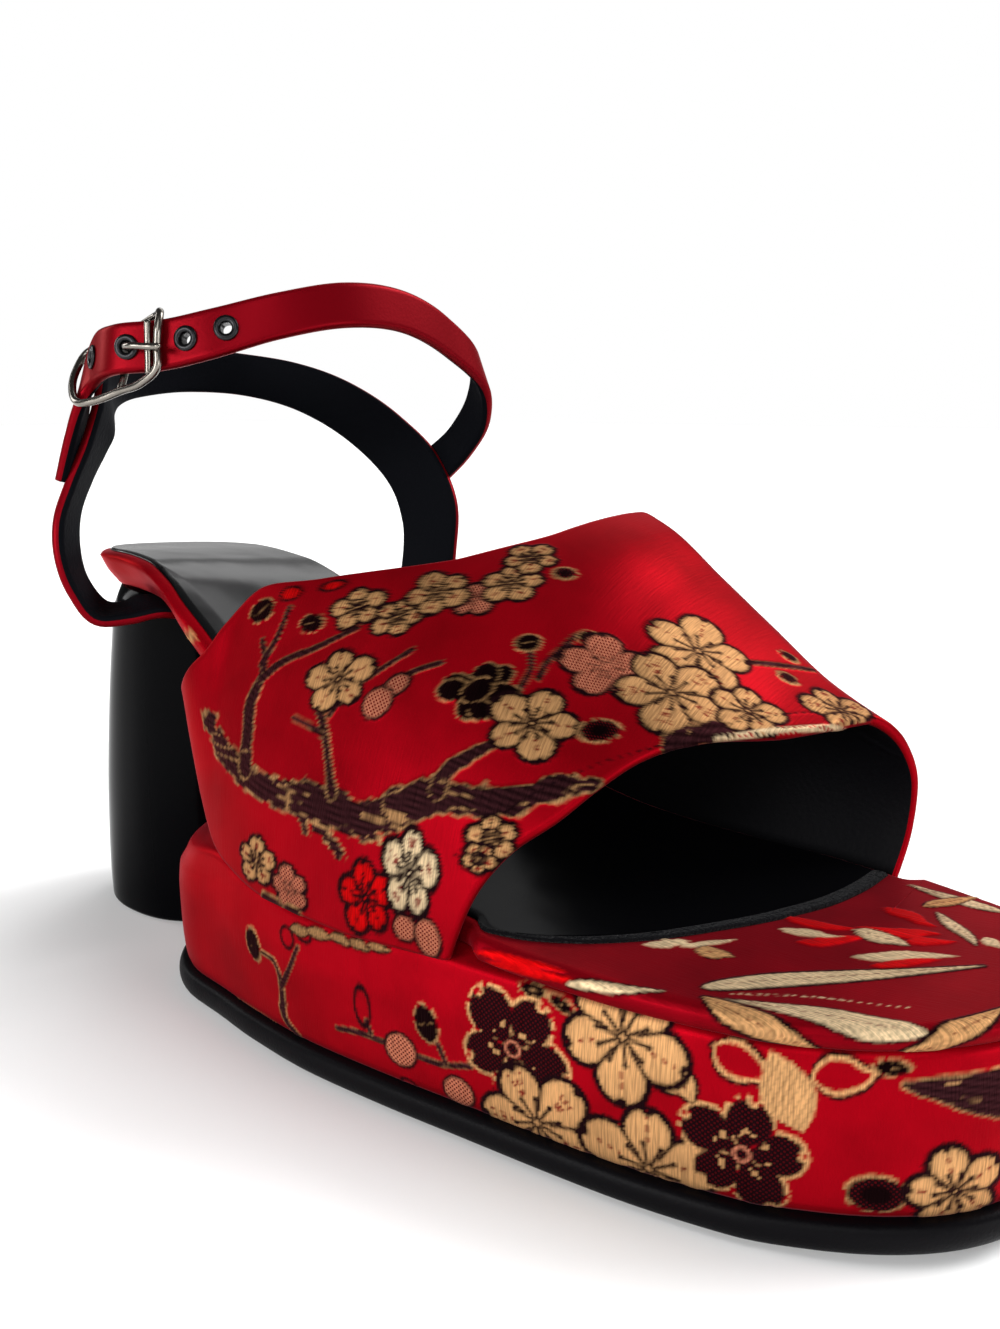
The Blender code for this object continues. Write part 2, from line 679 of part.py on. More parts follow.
def build_strap():
    satin = material("strap_satin", RED, 0.4)
    strap = ribbon("ankle_strap", BACK_BAND, 62, STRAP_THICKNESS, satin)
    front = ribbon("front_band", FRONT_BAND, 54, STRAP_THICKNESS, satin)
    combine(strap, front, "UNION")
    metal = material("eyelet_black", (0.02, 0.02, 0.022), 0.3, 0.9)
    for number, station in enumerate(EYELET_STATIONS, start=1):
        spot, out = strap_spot(station)
        reach = STRAP_THICKNESS
        drill = rod("drill", [spot - out * reach, spot + out * reach], EYELET_HOLE, 12, metal)
        combine(strap, drill, "DIFFERENCE")
        face = STRAP_THICKNESS / 2 + 0.22
        lip = face + EYELET_FLANGE_THICKNESS
        lathe("eyelet_%d" % number, spot, out,
              [(EYELET_BORE, -STRAP_THICKNESS / 2), (EYELET_TUBE, -STRAP_THICKNESS / 2),
               (EYELET_TUBE, face), (EYELET_FLANGE, face), (EYELET_FLANGE - 0.2, lip - 0.1),
               (EYELET_BORE, lip)], 12, metal)


def build_buckle():
    steel = material("buckle_steel", (0.55, 0.53, 0.5), 0.25, 1.0)
    loop = np.stack([BUCKLE[c] for c in ("x", "station", "height")], axis=1)
    frame = rod("buckle_frame", glide(loop, 44, closed=True), WIRE_RADIUS, 7, steel, closed=True)
    bar = rod("centre_bar", np.linspace(loop[4], loop[11], 3), WIRE_RADIUS * 0.9, 7, steel)
    combine(frame, bar, "UNION")
    spot, out = strap_spot(EYELET_STATIONS[2])
    tip = loop[0] + np.array([WIRE_RADIUS + PRONG_RADIUS + GAP, 0.6, -0.4])
    line = [spot - out * 2.4, spot - out * 0.5, spot + out * 2.2,
            spot + out * 3.0 + np.array([0, 2.2, 0]), tip, tip + np.array([-0.4, 1.6, 0])]
    rod("buckle_prong", glide(line, 12), PRONG_RADIUS, 7, steel)


build_outsole()
build_platform()
build_insole()
build_sock()
build_heel()
build_vamp()
build_strap()
build_buckle()
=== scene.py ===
"""Looks of the platform sandal: brocade, linings, lacquer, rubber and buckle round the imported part.

Working units are millimetres as (x, station, height); a station is the distance forward from the heel's back.
"""

import math

import bmesh
import bpy
import numpy as np
from mathutils import Matrix, Vector


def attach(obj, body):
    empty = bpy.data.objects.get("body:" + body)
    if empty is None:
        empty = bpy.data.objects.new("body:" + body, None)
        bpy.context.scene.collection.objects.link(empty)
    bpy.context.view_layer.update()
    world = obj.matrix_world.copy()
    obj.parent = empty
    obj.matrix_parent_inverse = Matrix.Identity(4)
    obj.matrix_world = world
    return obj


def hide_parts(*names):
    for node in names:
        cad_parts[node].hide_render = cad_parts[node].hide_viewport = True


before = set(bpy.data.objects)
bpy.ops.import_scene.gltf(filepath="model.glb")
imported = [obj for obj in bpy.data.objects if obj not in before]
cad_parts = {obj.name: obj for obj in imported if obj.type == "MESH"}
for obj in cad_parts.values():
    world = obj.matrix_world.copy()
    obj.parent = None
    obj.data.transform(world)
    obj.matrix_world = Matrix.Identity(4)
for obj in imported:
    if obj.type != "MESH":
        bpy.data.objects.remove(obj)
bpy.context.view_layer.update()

MM = 0.001
MID_STATION = 127.0
GAP = 0.3

TOE_STATION = 253.5
TOE_RADIUS = 43.4
TOE_POWER = 2.3
PLATFORM_BACK = 51.5
PLATFORM_BACK_RADIUS = 27.0
PLATFORM_BACK_POWER = 2.4
PLATFORM_BACK_END = 92.0
WALL_ROLL_START = 0.72
WALL_ROLL_GROWTH = 4.5
SEAT_INSET = (3.8, 8.0)
SEAT_BACK_INSET = 6.0
SEAT_SLOPE = 1.2
SEAT_LOW = 41.0
SEAT_RISE = 31.0
SEAT_RUN = (70.0, 96.0)
WALL_PITCH = (95.0, 0.7, 0.5)
BED_PITCH = (150.0, 1.2, 0.55)
SOLE_PITCH = (0.0, 1.1, 1.1)
OUTSOLE_THICKNESS = 6.0
TOE_SPRING = 3.1
SPRING_START = 205.0
SPRING_RUN = 47.0
HEEL_SEAT_BACK = 10.5
HEEL_SEAT_RADIUS = 24.0
HEEL_SEAT_POWER = 2.5
HEEL_SEAT_TILT = 5.4
TILT_GROWS = (15.0, 50.0)
TILT_FADES = (70.0, 120.0)
HEEL_SEAT_OUTER = 28.0
HEEL_SEAT_WIDTH = 55.0
HEEL_ROUND = 1.6
HEEL_BACK_POWER = 2.3
HEEL_FRONT_POWER = 2.2
HEEL_SIDE_TOP = 86.0
HEEL_TOP = 93.0
VAMP_WALL = 2.4
VAMP_OVERHANG = 0.8
VAMP_INNER_BULGE = 5.5
VAMP_BULGE_LEVEL = 0.7
VAMP_BULGE_POWER = 1.2
VAMP_INNER_POWER = 0.8
SOCK_INSET = 2.6
SOCK_RISE = 0.75
SOCK_SEAT = 0.06
SOCK_ROLL = 0.55
STRAP_THICKNESS = 2.8
STRAP_EDGE = 1.1
EYELET_STATIONS = (78.5, 71.0, 58.8, 46.6)
PRONG_EYELET = 2
EYELET_HOLE = 2.05
EYELET_BORE = 1.25
EYELET_BARREL = 1.8
EYELET_FLANGE = 2.75
EYELET_STAND = 0.22
DRILL_REACH = 3.0
WIRE_RADIUS = 0.9
BAR_RADIUS = 0.81
ROLLER_RADIUS = 0.8
PRONG_RADIUS = 0.75
PRONG_OUT = (-2.4, -0.5, 2.2, 3.0)
PRONG_BEND = np.array([0.0, 2.2, 0.0])
PRONG_REST = np.array([WIRE_RADIUS + PRONG_RADIUS + GAP, 0.6, -0.4])
PRONG_TIP = np.array([-0.4, 1.6, 0.0])

# Photo camera: place in working units, turn, tilt and focal length in pixels of a 1000 x 1329 picture.
CAMERA_AT = np.array([200.4, 283.2, 138.0])
CAMERA_YAW = math.radians(52.87)
CAMERA_PITCH = math.radians(12.8)
CAMERA_FOCAL = 1157.0
PICTURE = (1000.0, 1329.0)
SENSOR = 36.0


def table(columns, rows):
    """Rows of numbers with named columns."""
    data = np.array(rows, dtype=float)
    return {name: data[:, i] for i, name in enumerate(columns.split())}


WALL = table("station outer inner top", [
    (50, 41.0, 27.5, 36.4), (70, 43.5, 27.5, 37.6), (85, 45.5, 28.0, 39.2), (100, 48.0, 29.5, 36.6),
    (120, 49.6, 32.0, 34.6), (140, 48.9, 35.0, 35.2), (155, 47.8, 37.0, 36.0), (190, 44.9, 38.6, 36.0),
    (212, 40.9, 35.8, 36.1), (225, 37.5, 33.6, 36.6), (240, 35.0, 31.4, 38.0), (262, 33.2, 29.4, 40.2),
])
WALL_FORM = table("share inset", [
    (0.0, 0.9), (0.06, 0.25), (0.3, -0.35), (0.6, -0.5), (0.86, 0.3), (0.97, 0.8), (1.0, 1.5),
])
BED = table("station top thickness outer inner", [
    (10, 101.0, 8.5, 28.0, 26.5), (30, 101.0, 8.5, 28.6, 27.0), (45, 100.0, 8.5, 31.0, 27.2),
    (57, 96.5, 8.2, 34.0, 27.0), (66, 91.5, 7.6, 36.2, 26.8), (74, 86.0, 7.0, 36.8, 26.8),
    (85, 78.0, 6.4, 38.0, 27.0), (100, 67.0, 5.6, 40.6, 27.6), (120, 55.0, 5.0, 44.4, 29.6),
    (140, 46.5, 4.8, 45.4, 32.0), (155, 43.0, 4.7, 44.6, 33.8), (170, 41.3, 4.7, 43.6, 35.3),
    (190, 40.8, 4.7, 41.7, 35.4), (212, 40.8, 4.6, 37.7, 32.6), (225, 41.1, 4.4, 34.3, 30.4),
    (240, 42.5, 4.4, 31.8, 28.2), (262, 44.7, 4.4, 30.0, 26.2),
])
FLUSH_OUTER = (157.0, 162.0)
FLUSH_INNER = (213.5, 218.0)
FLUSH_STEP = 0.1
RIM_TUCK = (40.0, 90.0)
# Stations over which the footbed's red darkens into a painted shade towards the toe.
TOE_SHADE_RUN = (120.0, 170.0)
RIM = table("step inset tuck share drop", [
    (0, 1.8, 2.8, 0.0, 0.0), (1, 0.9, 3.3, 0.04, 0.0), (2, 0.5, 3.2, 0.12, 0.0), (3, 0.15, 2.3, 0.3, 0.0),
    (4, 0.0, 1.4, 0.5, 0.0), (5, 0.25, -0.15, 1.0, 1.3), (6, 0.6, -0.08, 1.0, 0.75), (7, 1.0, 0.0, 1.0, 0.4),
    (8, 1.55, 0.0, 1.0, 0.14), (9, 2.2, 0.0, 1.0, 0.0),
])
SOCK_FRONT = table("across station", [
    (-1.0, 211.0), (-0.75, 210.5), (-0.4, 208.5), (0.0, 203.5), (0.35, 195.0), (0.7, 183.0),
    (0.93, 169.0), (1.0, 160.0),
])
HEEL = table("height back front half", [
    (0.0, 0.2, 48.0, 23.2), (1.6, -1.4, 49.6, 24.8), (10.0, -1.4, 50.0, 25.0), (30.0, 0.0, 50.6, 25.0),
    (55.0, 3.6, 51.4, 24.8), (75.0, 7.4, 52.2, 24.4), (86.0, 10.0, 52.6, 24.0), (93.0, 14.0, 53.0, 23.4),
])
SOLE_EDGE = table("inset height", [
    (0.6, 0.0), (-0.1, 0.04), (-0.5, 0.16), (-0.85, 0.38), (-1.15, 0.75), (-1.42, 1.2), (-1.62, 1.75),
    (-1.75, 2.35), (-1.8, 3.0), (-1.78, 3.6), (-1.7, 4.15), (-1.55, 4.65), (-1.34, 5.1), (-1.05, 5.45),
    (-0.7, 5.7), (-0.3, 5.86), (0.4, 6.0),
])
VAMP = table("station outer_foot outer_base inner_base crown_x crown", [
    (64, 37.0, 82.0, 42.0, -27.0, 150.0), (70, 39.6, 74.0, 42.0, -27.0, 146.0),
    (75, 41.8, 63.0, 41.0, -27.0, 143.0), (81, 44.0, 49.5, 41.0, -27.0, 140.0),
    (86, 45.6, 42.0, 40.6, -28.0, 137.0), (91, 46.9, 39.4, 39.6, -28.0, 134.0),
    (107, 49.3, 35.8, 35.8, -28.0, 126.5), (130, 50.2, 35.2, 35.2, -28.0, 120.0),
    (147, 49.2, 35.9, 35.9, -28.0, 115.2), (157, 48.5, 36.3, 36.3, -28.0, 110.6),
    (169, 47.7, 36.3, 36.3, -28.0, 101.2), (182, 46.5, 36.3, 36.3, -28.0, 91.0),
    (195, 44.8, 36.3, 36.3, -28.0, 81.0), (207, 42.6, 36.4, 36.4, -28.0, 74.8),
    (216, 40.6, 36.7, 36.7, -28.0, 71.0),
])
VAMP_EDGE = table("angle rear front", [
    (0, 69.0, 155.5), (10, 73.0, 160.0), (19, 77.4, 166.0), (28, 81.8, 173.5), (37, 87.8, 178.5),
    (45, 103.0, 182.5), (58, 132.0, 190.5), (71, 145.2, 199.5), (85, 149.2, 205.0), (100, 150.6, 208.5),
    (120, 142.5, 211.5), (140, 127.0, 213.0), (160, 112.0, 212.5), (180, 101.0, 211.0),
])
BAND_COLUMNS = "ax as_ az bx bs bz"
BACK_BAND = table(BAND_COLUMNS, [
    (25.4, 54.4, 87.3, 22.8, 41.8, 89.6), (30.6, 52.0, 88.0, 26.8, 38.6, 89.9),
    (35.6, 46.5, 86.6, 29.0, 34.2, 88.0), (41.0, 41.5, 86.4, 31.4, 30.6, 88.4),
    (45.0, 38.0, 93.5, 34.4, 27.0, 94.8), (46.5, 36.0, 102.0, 35.4, 26.2, 103.0),
    (45.5, 35.0, 110.0, 34.0, 25.6, 111.0), (41.5, 35.0, 119.0, 30.0, 25.8, 119.4),
    (37.0, 36.5, 129.0, 26.2, 26.8, 126.0), (33.0, 37.0, 139.5, 24.4, 27.6, 129.5),
    (27.5, 32.0, 148.5, 22.0, 24.6, 134.2), (18.0, 23.0, 151.8, 13.5, 17.6, 137.6),
    (4.0, 15.5, 152.6, 1.0, 12.8, 139.6), (-12.0, 13.0, 152.6, -13.0, 12.4, 140.6),
    (-26.0, 19.0, 151.4, -26.0, 18.4, 139.8), (-34.0, 34.0, 148.6, -33.0, 34.0, 135.6),
    (-39.0, 50.0, 143.0, -38.0, 50.4, 126.6), (-42.5, 65.0, 134.0, -40.6, 62.8, 115.0),
    (-43.5, 77.0, 124.0, -41.6, 66.4, 105.0), (-43.0, 84.0, 112.0, -40.4, 67.6, 98.0),
    (-40.0, 86.0, 99.0, -38.0, 68.4, 90.0), (-36.0, 86.5, 84.0, -35.0, 69.6, 82.0),
    (-31.6, 86.6, 69.6, -31.4, 70.6, 76.4), (-28.4, 86.6, 65.0, -28.2, 71.2, 73.0),
    (-22.6, 86.6, 64.7, -22.6, 71.6, 73.2),
])
FRONT_BAND = table(BAND_COLUMNS, [
    (-46.2, 70.6, 124.6, -45.8, 78.0, 116.4), (-44.2, 82.0, 131.8, -44.0, 88.0, 123.8),
    (-41.6, 90.2, 140.6, -42.4, 95.0, 131.4), (-36.4, 95.4, 149.4, -38.2, 98.4, 139.2),
    (-23.4, 96.2, 158.4, -24.8, 98.2, 147.8), (-9.0, 95.4, 163.2, -9.0, 97.2, 153.4),
    (6.6, 92.4, 163.8, 7.4, 94.2, 154.0), (19.5, 85.6, 161.2, 20.5, 86.6, 151.2),
    (29.0, 75.5, 157.8, 31.0, 76.5, 147.0), (34.6, 65.5, 155.6, 35.8, 65.5, 144.6),
    (39.8, 55.0, 154.6, 41.4, 55.0, 143.6), (36.4, 43.0, 152.0, 39.4, 44.6, 141.0),
    (33.6, 34.0, 143.4, 41.2, 41.6, 137.2), (33.0, 29.6, 132.0, 42.2, 37.6, 129.6),
    (32.6, 26.6, 121.4, 43.0, 33.2, 119.6),
])
# Buckle frame as (x, station, height), then its second upright beside it.
BUCKLE = np.array([
    (37.8, 66.7, 150.0), (37.5, 67.0, 153.6), (36.4, 66.4, 156.4), (33.0, 60.8, 156.6), (33.8, 55.0, 154.2),
    (32.0, 45.0, 151.9), (32.6, 39.5, 150.9), (34.3, 35.4, 149.1), (37.9, 35.8, 144.8), (41.4, 39.2, 140.8),
    (44.0, 45.7, 137.7), (42.7, 50.7, 138.4), (40.8, 56.5, 140.3), (39.6, 62.7, 142.0), (38.3, 66.7, 145.2),
])
BAR_ENDS = (4, 12)
BUCKLE_SIDE = 10.0
BUCKLE_LOW = 145.0
ROLLER = [(38.3, 64.6, 154.6), (38.6, 64.6, 150.5), (38.9, 64.6, 144.4)]


def cubic(y, m, h, k, t):
    """Place on piece k of a curve with heights y and slopes m; t is the share of its length h."""
    a = (1 + 2 * t) * (1 - t) ** 2 * y[k] + t * (1 - t) ** 2 * h * m[k]
    b = t * t * (3 - 2 * t) * y[k + 1] - t * t * (1 - t) * h * m[k + 1]
    return a + b


def follow(tab, key, name, at):
    """Cubic through one column against another, with slopes that never overshoot."""
    x = tab[key]
    y = tab[name]
    at = np.clip(np.asarray(at, dtype=float), x[0], x[-1])
    h = np.diff(x)
    d = np.diff(y) / h
    m = np.zeros(len(x))
    m[0] = d[0]
    m[-1] = d[-1]
    for i in range(1, len(x) - 1):
        if d[i - 1] * d[i] > 0:
            w1 = 2 * h[i] + h[i - 1]
            w2 = h[i] + 2 * h[i - 1]
            m[i] = (w1 + w2) / (w1 / d[i - 1] + w2 / d[i])
    k = np.clip(np.searchsorted(x, at, side="right") - 1, 0, len(x) - 2)
    return cubic(y, m, h[k], k, (at - x[k]) / h[k])


def along(tab, name, station):
    return follow(tab, "station", name, station)


def travel(points):
    """Length run from the first point to each point of a line."""
    return np.concatenate([[0], np.cumsum(np.linalg.norm(np.diff(points, axis=0), axis=1))])


def glide(points, count, closed=False):
    """Evenly spaced points along a smooth curve through a few rows."""
    p = np.asarray(points, dtype=float)
    if closed:
        p = np.vstack([p[-2:], p, p[:3]])
    d = travel(p)
    m = np.gradient(p, d, axis=0)
    first, last = (2, len(p) - 3) if closed else (0, len(p) - 1)
    fine = np.linspace(d[first], d[last], 40 * len(p))
    k = np.clip(np.searchsorted(d, fine, side="right") - 1, 0, len(p) - 2)
    h = (d[k + 1] - d[k])[:, None]
    q = cubic(p, m, h, k, (fine - d[k])[:, None] / h)
    run = travel(q)
    even = np.linspace(0, run[-1], count + 1 if closed else count)
    out = np.stack([np.interp(even, run, q[:, i]) for i in range(q.shape[1])], axis=1)
    return out[:-1] if closed else out


def ease(value, low, high):
    t = np.clip((np.asarray(value, dtype=float) - low) / (high - low), 0, 1)
    return t * t * (3 - 2 * t)


def unit(v):
    return v / np.maximum(np.linalg.norm(v, axis=-1, keepdims=True), 1e-9)


def spring(station):
    return TOE_SPRING * np.clip((np.asarray(station, dtype=float) - SPRING_START) / SPRING_RUN, 0, None) ** 2


def grain(p, size, seed=0.0):
    """Steady random number for each little cell of space."""
    q = np.floor(np.asarray(p, dtype=float) / size)
    h = np.sin(q[..., 0] * 127.1 + q[..., 1] * 311.7 + q[..., 2] * 74.7 + seed * 19.3) * 43758.5453
    return h - np.floor(h)


def haze(p, size, seed=0.0):
    """Smooth random field with features of a given size."""
    q = np.asarray(p, dtype=float) / size
    base = np.floor(q)
    f = q - base
    f = f * f * (3 - 2 * f)
    total = 0.0
    for corner in np.ndindex(2, 2, 2):
        x, y, z = (f[..., axis] if far else 1 - f[..., axis] for axis, far in enumerate(corner))
        total = total + x * y * z * grain(base + np.array(corner) + 0.5, 1.0, seed)
    return total


FORWARD = np.array([-math.sin(CAMERA_YAW) * math.cos(CAMERA_PITCH),
                    -math.cos(CAMERA_YAW) * math.cos(CAMERA_PITCH), -math.sin(CAMERA_PITCH)])
RIGHT = unit(np.cross(FORWARD, [0.0, 0.0, 1.0]))
UP = np.cross(RIGHT, FORWARD)


def picture(p):
    """Place of points in the picture, and their depth."""
    d = p - CAMERA_AT
    deep = d @ FORWARD
    return np.stack([PICTURE[0] / 2 + CAMERA_FOCAL * (d @ RIGHT) / deep,
                     PICTURE[1] / 2 - CAMERA_FOCAL * (d @ UP) / deep], axis=-1), deep


def place_object(name, data):
    obj = bpy.data.objects.new(name, data)
    bpy.context.scene.collection.objects.link(obj)
    return obj


def add_mesh(name, verts, faces, mats, which=None):
    """One piece from points in working units; which gives the material number of each face."""
    mesh = bpy.data.meshes.new(name)
    v = np.asarray(verts, dtype=float) * MM
    v[:, 1] -= MID_STATION * MM
    mesh.from_pydata(v.tolist(), [], [face for group in faces for face in group.tolist()])
    if which is not None:
        mesh.polygons.foreach_set("material_index", np.asarray(which, dtype=np.int32))
    mesh.validate()
    bm = bmesh.new()
    bm.from_mesh(mesh)
    bmesh.ops.recalc_face_normals(bm, faces=bm.faces)
    big = [f for f in bm.faces if len(f.verts) > 4]
    if big:
        bmesh.ops.triangulate(bm, faces=big)
    for f in bm.faces:
        f.smooth = True
    bm.to_mesh(mesh)
    bm.free()
    for m in mats:
        mesh.materials.append(m)
    return place_object(name, mesh)


def lattice(rows, cols, wrap=False, start=0):
    """Quads of a grid of points stored row by row; wrap closes each row into a ring."""
    j, i = np.meshgrid(np.arange(rows - 1), np.arange(cols if wrap else cols - 1), indexing="ij")
    k = (i + 1) % cols
    a = j * cols + i
    b = j * cols + k
    return np.stack([a, b, b + cols, a + cols], axis=-1).reshape(-1, 4) + start


def sleeve(name, points, rows, mats, lining):
    """Closed tube of equal loops; lining gives the columns between which the second material lies."""
    col = np.arange(len(points) // rows)
    inside = (col >= lining[0]) & (col < lining[1])
    ends = np.array([col, (rows - 1) * len(col) + col])
    which = np.concatenate([np.tile(inside, rows - 1), [False, False]])
    return add_mesh(name, points, [lattice(rows, len(col), wrap=True), ends], mats, which)


def surface_normals(grid):
    return unit(np.cross(np.gradient(grid, axis=0), np.gradient(grid, axis=1)))


def ring_normals(rows):
    return surface_normals(np.concatenate([rows, rows[:, :1]], axis=1))[:, :-1]


def faced(normals, sample, axis):
    """Normals turned so that the one at a sample place is positive along an axis."""
    return -normals if normals[sample][axis] < 0 else normals


def publish(obj, slot, *nodes):
    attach(obj, "root")
    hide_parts(*nodes)
    return obj


def srgb(r, g, b):
    c = np.array([r, g, b], dtype=float) / 255
    return np.where(c <= 0.04045, c / 12.92, ((c + 0.055) / 1.055) ** 2.4)


GROUND = srgb(160, 3, 19)
# Darker red of the painted shade on the front of the footbed.
TOE_SHADE_RED = srgb(134, 4, 18)
GOLD = srgb(222, 168, 112)
CREAM = srgb(240, 212, 168)
PINK = srgb(208, 128, 98)
BROWN = srgb(58, 28, 32)
INK = srgb(26, 10, 14)
SCARLET = srgb(222, 8, 12)
WINE = srgb(128, 12, 20)
RED_SHINE = (1.0, 0.4, 0.42)
WHITE = (1.0, 1.0, 1.0)


class Cloth:
    """Woven figures on the points of a surface: colour, relief and share of loose thread. A shade factor
    below 1 darkens every laid colour as painted shade.
    """

    def __init__(self, points, normals, ground=GROUND, squash=1.0, shade_scale=1.0):
        self.squash = squash
        self.shade_scale = shade_scale
        self.p = points.reshape(-1, 3)
        self.n = normals.reshape(-1, 3)
        self.dye = np.tile(np.asarray(ground, dtype=float), (len(self.p), 1))
        self.lift, self.weave, self.net = np.zeros((3, len(self.p)))
        self.px, self.deep = picture(self.p)
        self.facing = ((CAMERA_AT - self.p) * self.n).sum(axis=1) > 0

    def spot(self, at):
        """Point of the cloth: from a place in the picture (x, y), or in space (x, station, height)."""
        if len(at) == 3:
            return int(np.argmin(((self.p - np.asarray(at, dtype=float)) ** 2).sum(axis=1)))
        miss = ((self.px - np.asarray(at, dtype=float)) ** 2).sum(axis=1) + np.where(self.facing, 0, 1e6)
        near = np.nonzero(miss < miss.min() + 9.0)[0]
        return int(near[np.argmin(self.deep[near] + 0.5 * np.sqrt(miss[near]))])

    def local(self, i, reach):
        """Points near one place with their flat coordinates there."""
        n = self.n[i]
        side = RIGHT if abs(n @ RIGHT) < 0.9 and n @ FORWARD < 0.25 else np.cross([0, 0, 1.0], n)
        across = unit(side - n * (side @ n))
        d = self.p - self.p[i]
        near = np.nonzero(((d ** 2).sum(axis=1) < reach * reach) & (self.n @ n > 0.1))[0]
        return near, d[near] @ across, d[near] @ np.cross(n, across)

    def brush(self, where):
        """Function that lays a colour, its relief and its net filling on some points through a mask; the
        colour is scaled by the cloth's painted-shade factor.
        """
        def lay(mask, colour, lift, net=0.0):
            m = np.clip(mask, 0, 1)
            self.dye[where] = self.dye[where] * (1 - m[:, None]) + np.asarray(colour) * self.shade_scale * m[:, None]
            for field, value in ((self.lift, lift), (self.weave, 1.0), (self.net, net)):
                field[where] = field[where] * (1 - m) + value * m
        return lay

    def raised(self):
        return self.p + self.n * self.lift[:, None]

    def paint(self, obj, cord, rise):
        """Dyes, thread share, net share and thread coordinates; points past the cloth keep the ground."""
        total = len(obj.data.vertices)
        count = len(self.p)
        colour = np.ones((total, 4), dtype=np.float32)
        colour[:, :3] = GROUND
        colour[:count, :3] = self.dye
        layer = obj.data.color_attributes.new("dye", "FLOAT_COLOR", "POINT")
        layer.data.foreach_set("color", colour.ravel())
        for name, values in (("weave", self.weave), ("net", self.net), ("cord", cord), ("rise", rise)):
            full = np.zeros(total, dtype=np.float32)
            full[:count] = np.ravel(values)
            layer = obj.data.attributes.new(name, "FLOAT", "POINT")
            layer.data.foreach_set("value", full)


def soft(d, blur=0.45):
    """1 inside, 0 outside of a signed distance."""
    return np.clip(0.5 - d / blur, 0, 1)


def turned_axes(u, v, turn):
    ang = math.radians(turn)
    return u * math.cos(ang) + v * math.sin(ang), v * math.cos(ang) - u * math.sin(ang)


def flower(cloth, at, size, kind, turn, seed, squash=None, line=1.05):
    """Plum blossom of five petals with an outline, fine veins and stamens."""
    near, u, v = cloth.local(cloth.spot(at), size * 1.6)
    lay = cloth.brush(near)
    p = cloth.p[near]
    jag = (grain(p, 0.5, seed) - 0.5) * 0.22
    uu, vv = turned_axes(u, v / (squash or cloth.squash), turn)
    rho = np.hypot(uu, vv)
    th = np.arctan2(vv, uu)
    sector = 2 * math.pi / 5
    k = np.round(th / sector) % 5
    tl = th - np.round(th / sector) * sector
    grow = size * (1 + 0.07 * np.sin(k * 2.4 + seed))
    a = rho * np.cos(tl)
    b = rho * np.sin(tl)
    fat = 0.4 if kind in ("dark", "mesh") else 0.365
    lobe = np.hypot((a - 0.62 * grow) * 0.96, b) - fat * grow
    lobe = np.maximum(lobe, 0.1 * size - np.hypot(a - 1.02 * grow, b))
    neck = np.maximum(np.abs(b) - 0.05 * size - 0.45 * a, a - 0.62 * grow)
    d = np.minimum(lobe, neck) + jag
    body = soft(d)
    ray = np.abs((th / sector * 2 + 0.25) % 1.0 - 0.5) * sector / 2 * rho
    if kind in ("gold", "cream", "red"):
        base = {"gold": GOLD, "cream": CREAM, "red": SCARLET}[kind]
        vein = WINE if kind != "red" else INK
        lay(soft(d - line), INK, 0.05)
        lay(body, base, 0.2)
        lay(soft(d + 0.1) * soft(-d - 0.7) * 0.3, base * 0.6, 0.14)
        dash = (np.sin(a * 3.0 + k * 2) > -0.2) & (a > 0.46 * size) & (a < 0.86 * size)
        lay(body * soft(np.abs(b) - 0.26, 0.4) * dash, vein, 0.12)
        fork = np.abs(np.abs(b) - 0.28 * (a - 0.4 * size))
        lay(body * soft(fork - 0.2, 0.4) * dash * (seed % 2 > 0.5), vein, 0.12)
        gap = rho * np.sin(np.clip(sector / 2 - np.abs(tl), 0, 1.2))
        lay(soft(d - 0.3) * soft(gap - 0.3, 0.45) * (rho > 0.24 * size), INK, 0.06)
        lay(body * soft(ray - 0.34, 0.5) * (rho > 0.06 * size) * (rho < 0.4 * size), INK, 0.1)
        lay(body * soft(np.hypot(rho - 0.43 * size, ray) - 0.55, 0.4), INK, 0.2)
        lay(soft(np.abs(rho - 0.07 * size) - 0.24, 0.4), INK, 0.14)
    elif kind == "pink":
        lay(soft(d - line), INK, 0.05)
        lay(body, PINK, 0.16, net=1.0)
        lay(body * soft(ray - 0.14, 0.35) * (rho > 0.1 * size) * (rho < 0.42 * size), INK, 0.1)
    elif kind == "dark":
        dots = grain(p, 0.8, seed + 2) > 0.12
        lay(soft(rho - 0.62 * size), INK * 0.3, 0.12)
        for q in range(8):
            way = 2 * math.pi * q / 7 + 0.3 * math.sin(q * 2.7 + seed)
            far = (0.56 + 0.08 * math.sin(q * 1.9 + seed)) * size * (q < 7)
            ahead = uu * math.cos(way) + vv * math.sin(way) - far
            aside = vv * math.cos(way) - uu * math.sin(way)
            inside = (np.hypot(ahead / 0.46, aside / 0.36) - size) * 0.33 + jag * 0.5
            lay(soft(inside - 0.1, 0.4) * dots, GOLD * 0.6, 0.1)
            puff = 0.14 + 0.42 * np.sqrt(np.clip(-inside / (0.33 * size), 0, 1))
            lay(soft(inside + 0.18), INK * 0.3, puff)
    elif kind == "mesh":
        dots = grain(p, 1.0, seed + 2) > 0.15
        lay(soft(d - 0.55) * dots, GOLD, 0.1)
        lay(soft(d + 0.1), INK * 0.9, 0.17, net=-0.28)
        spots = grain(np.stack([u, v, u * 0], axis=1) + 50, 0.8, seed)
        halo = (rho > 0.2 * size) & (rho < 0.48 * size)
        lay(soft(d + 1.0) * halo * (spots > 0.86), GOLD * 0.8, 0.2)
        lay(soft(np.abs(rho - 0.13 * size) - 0.26, 0.35), PINK, 0.2)


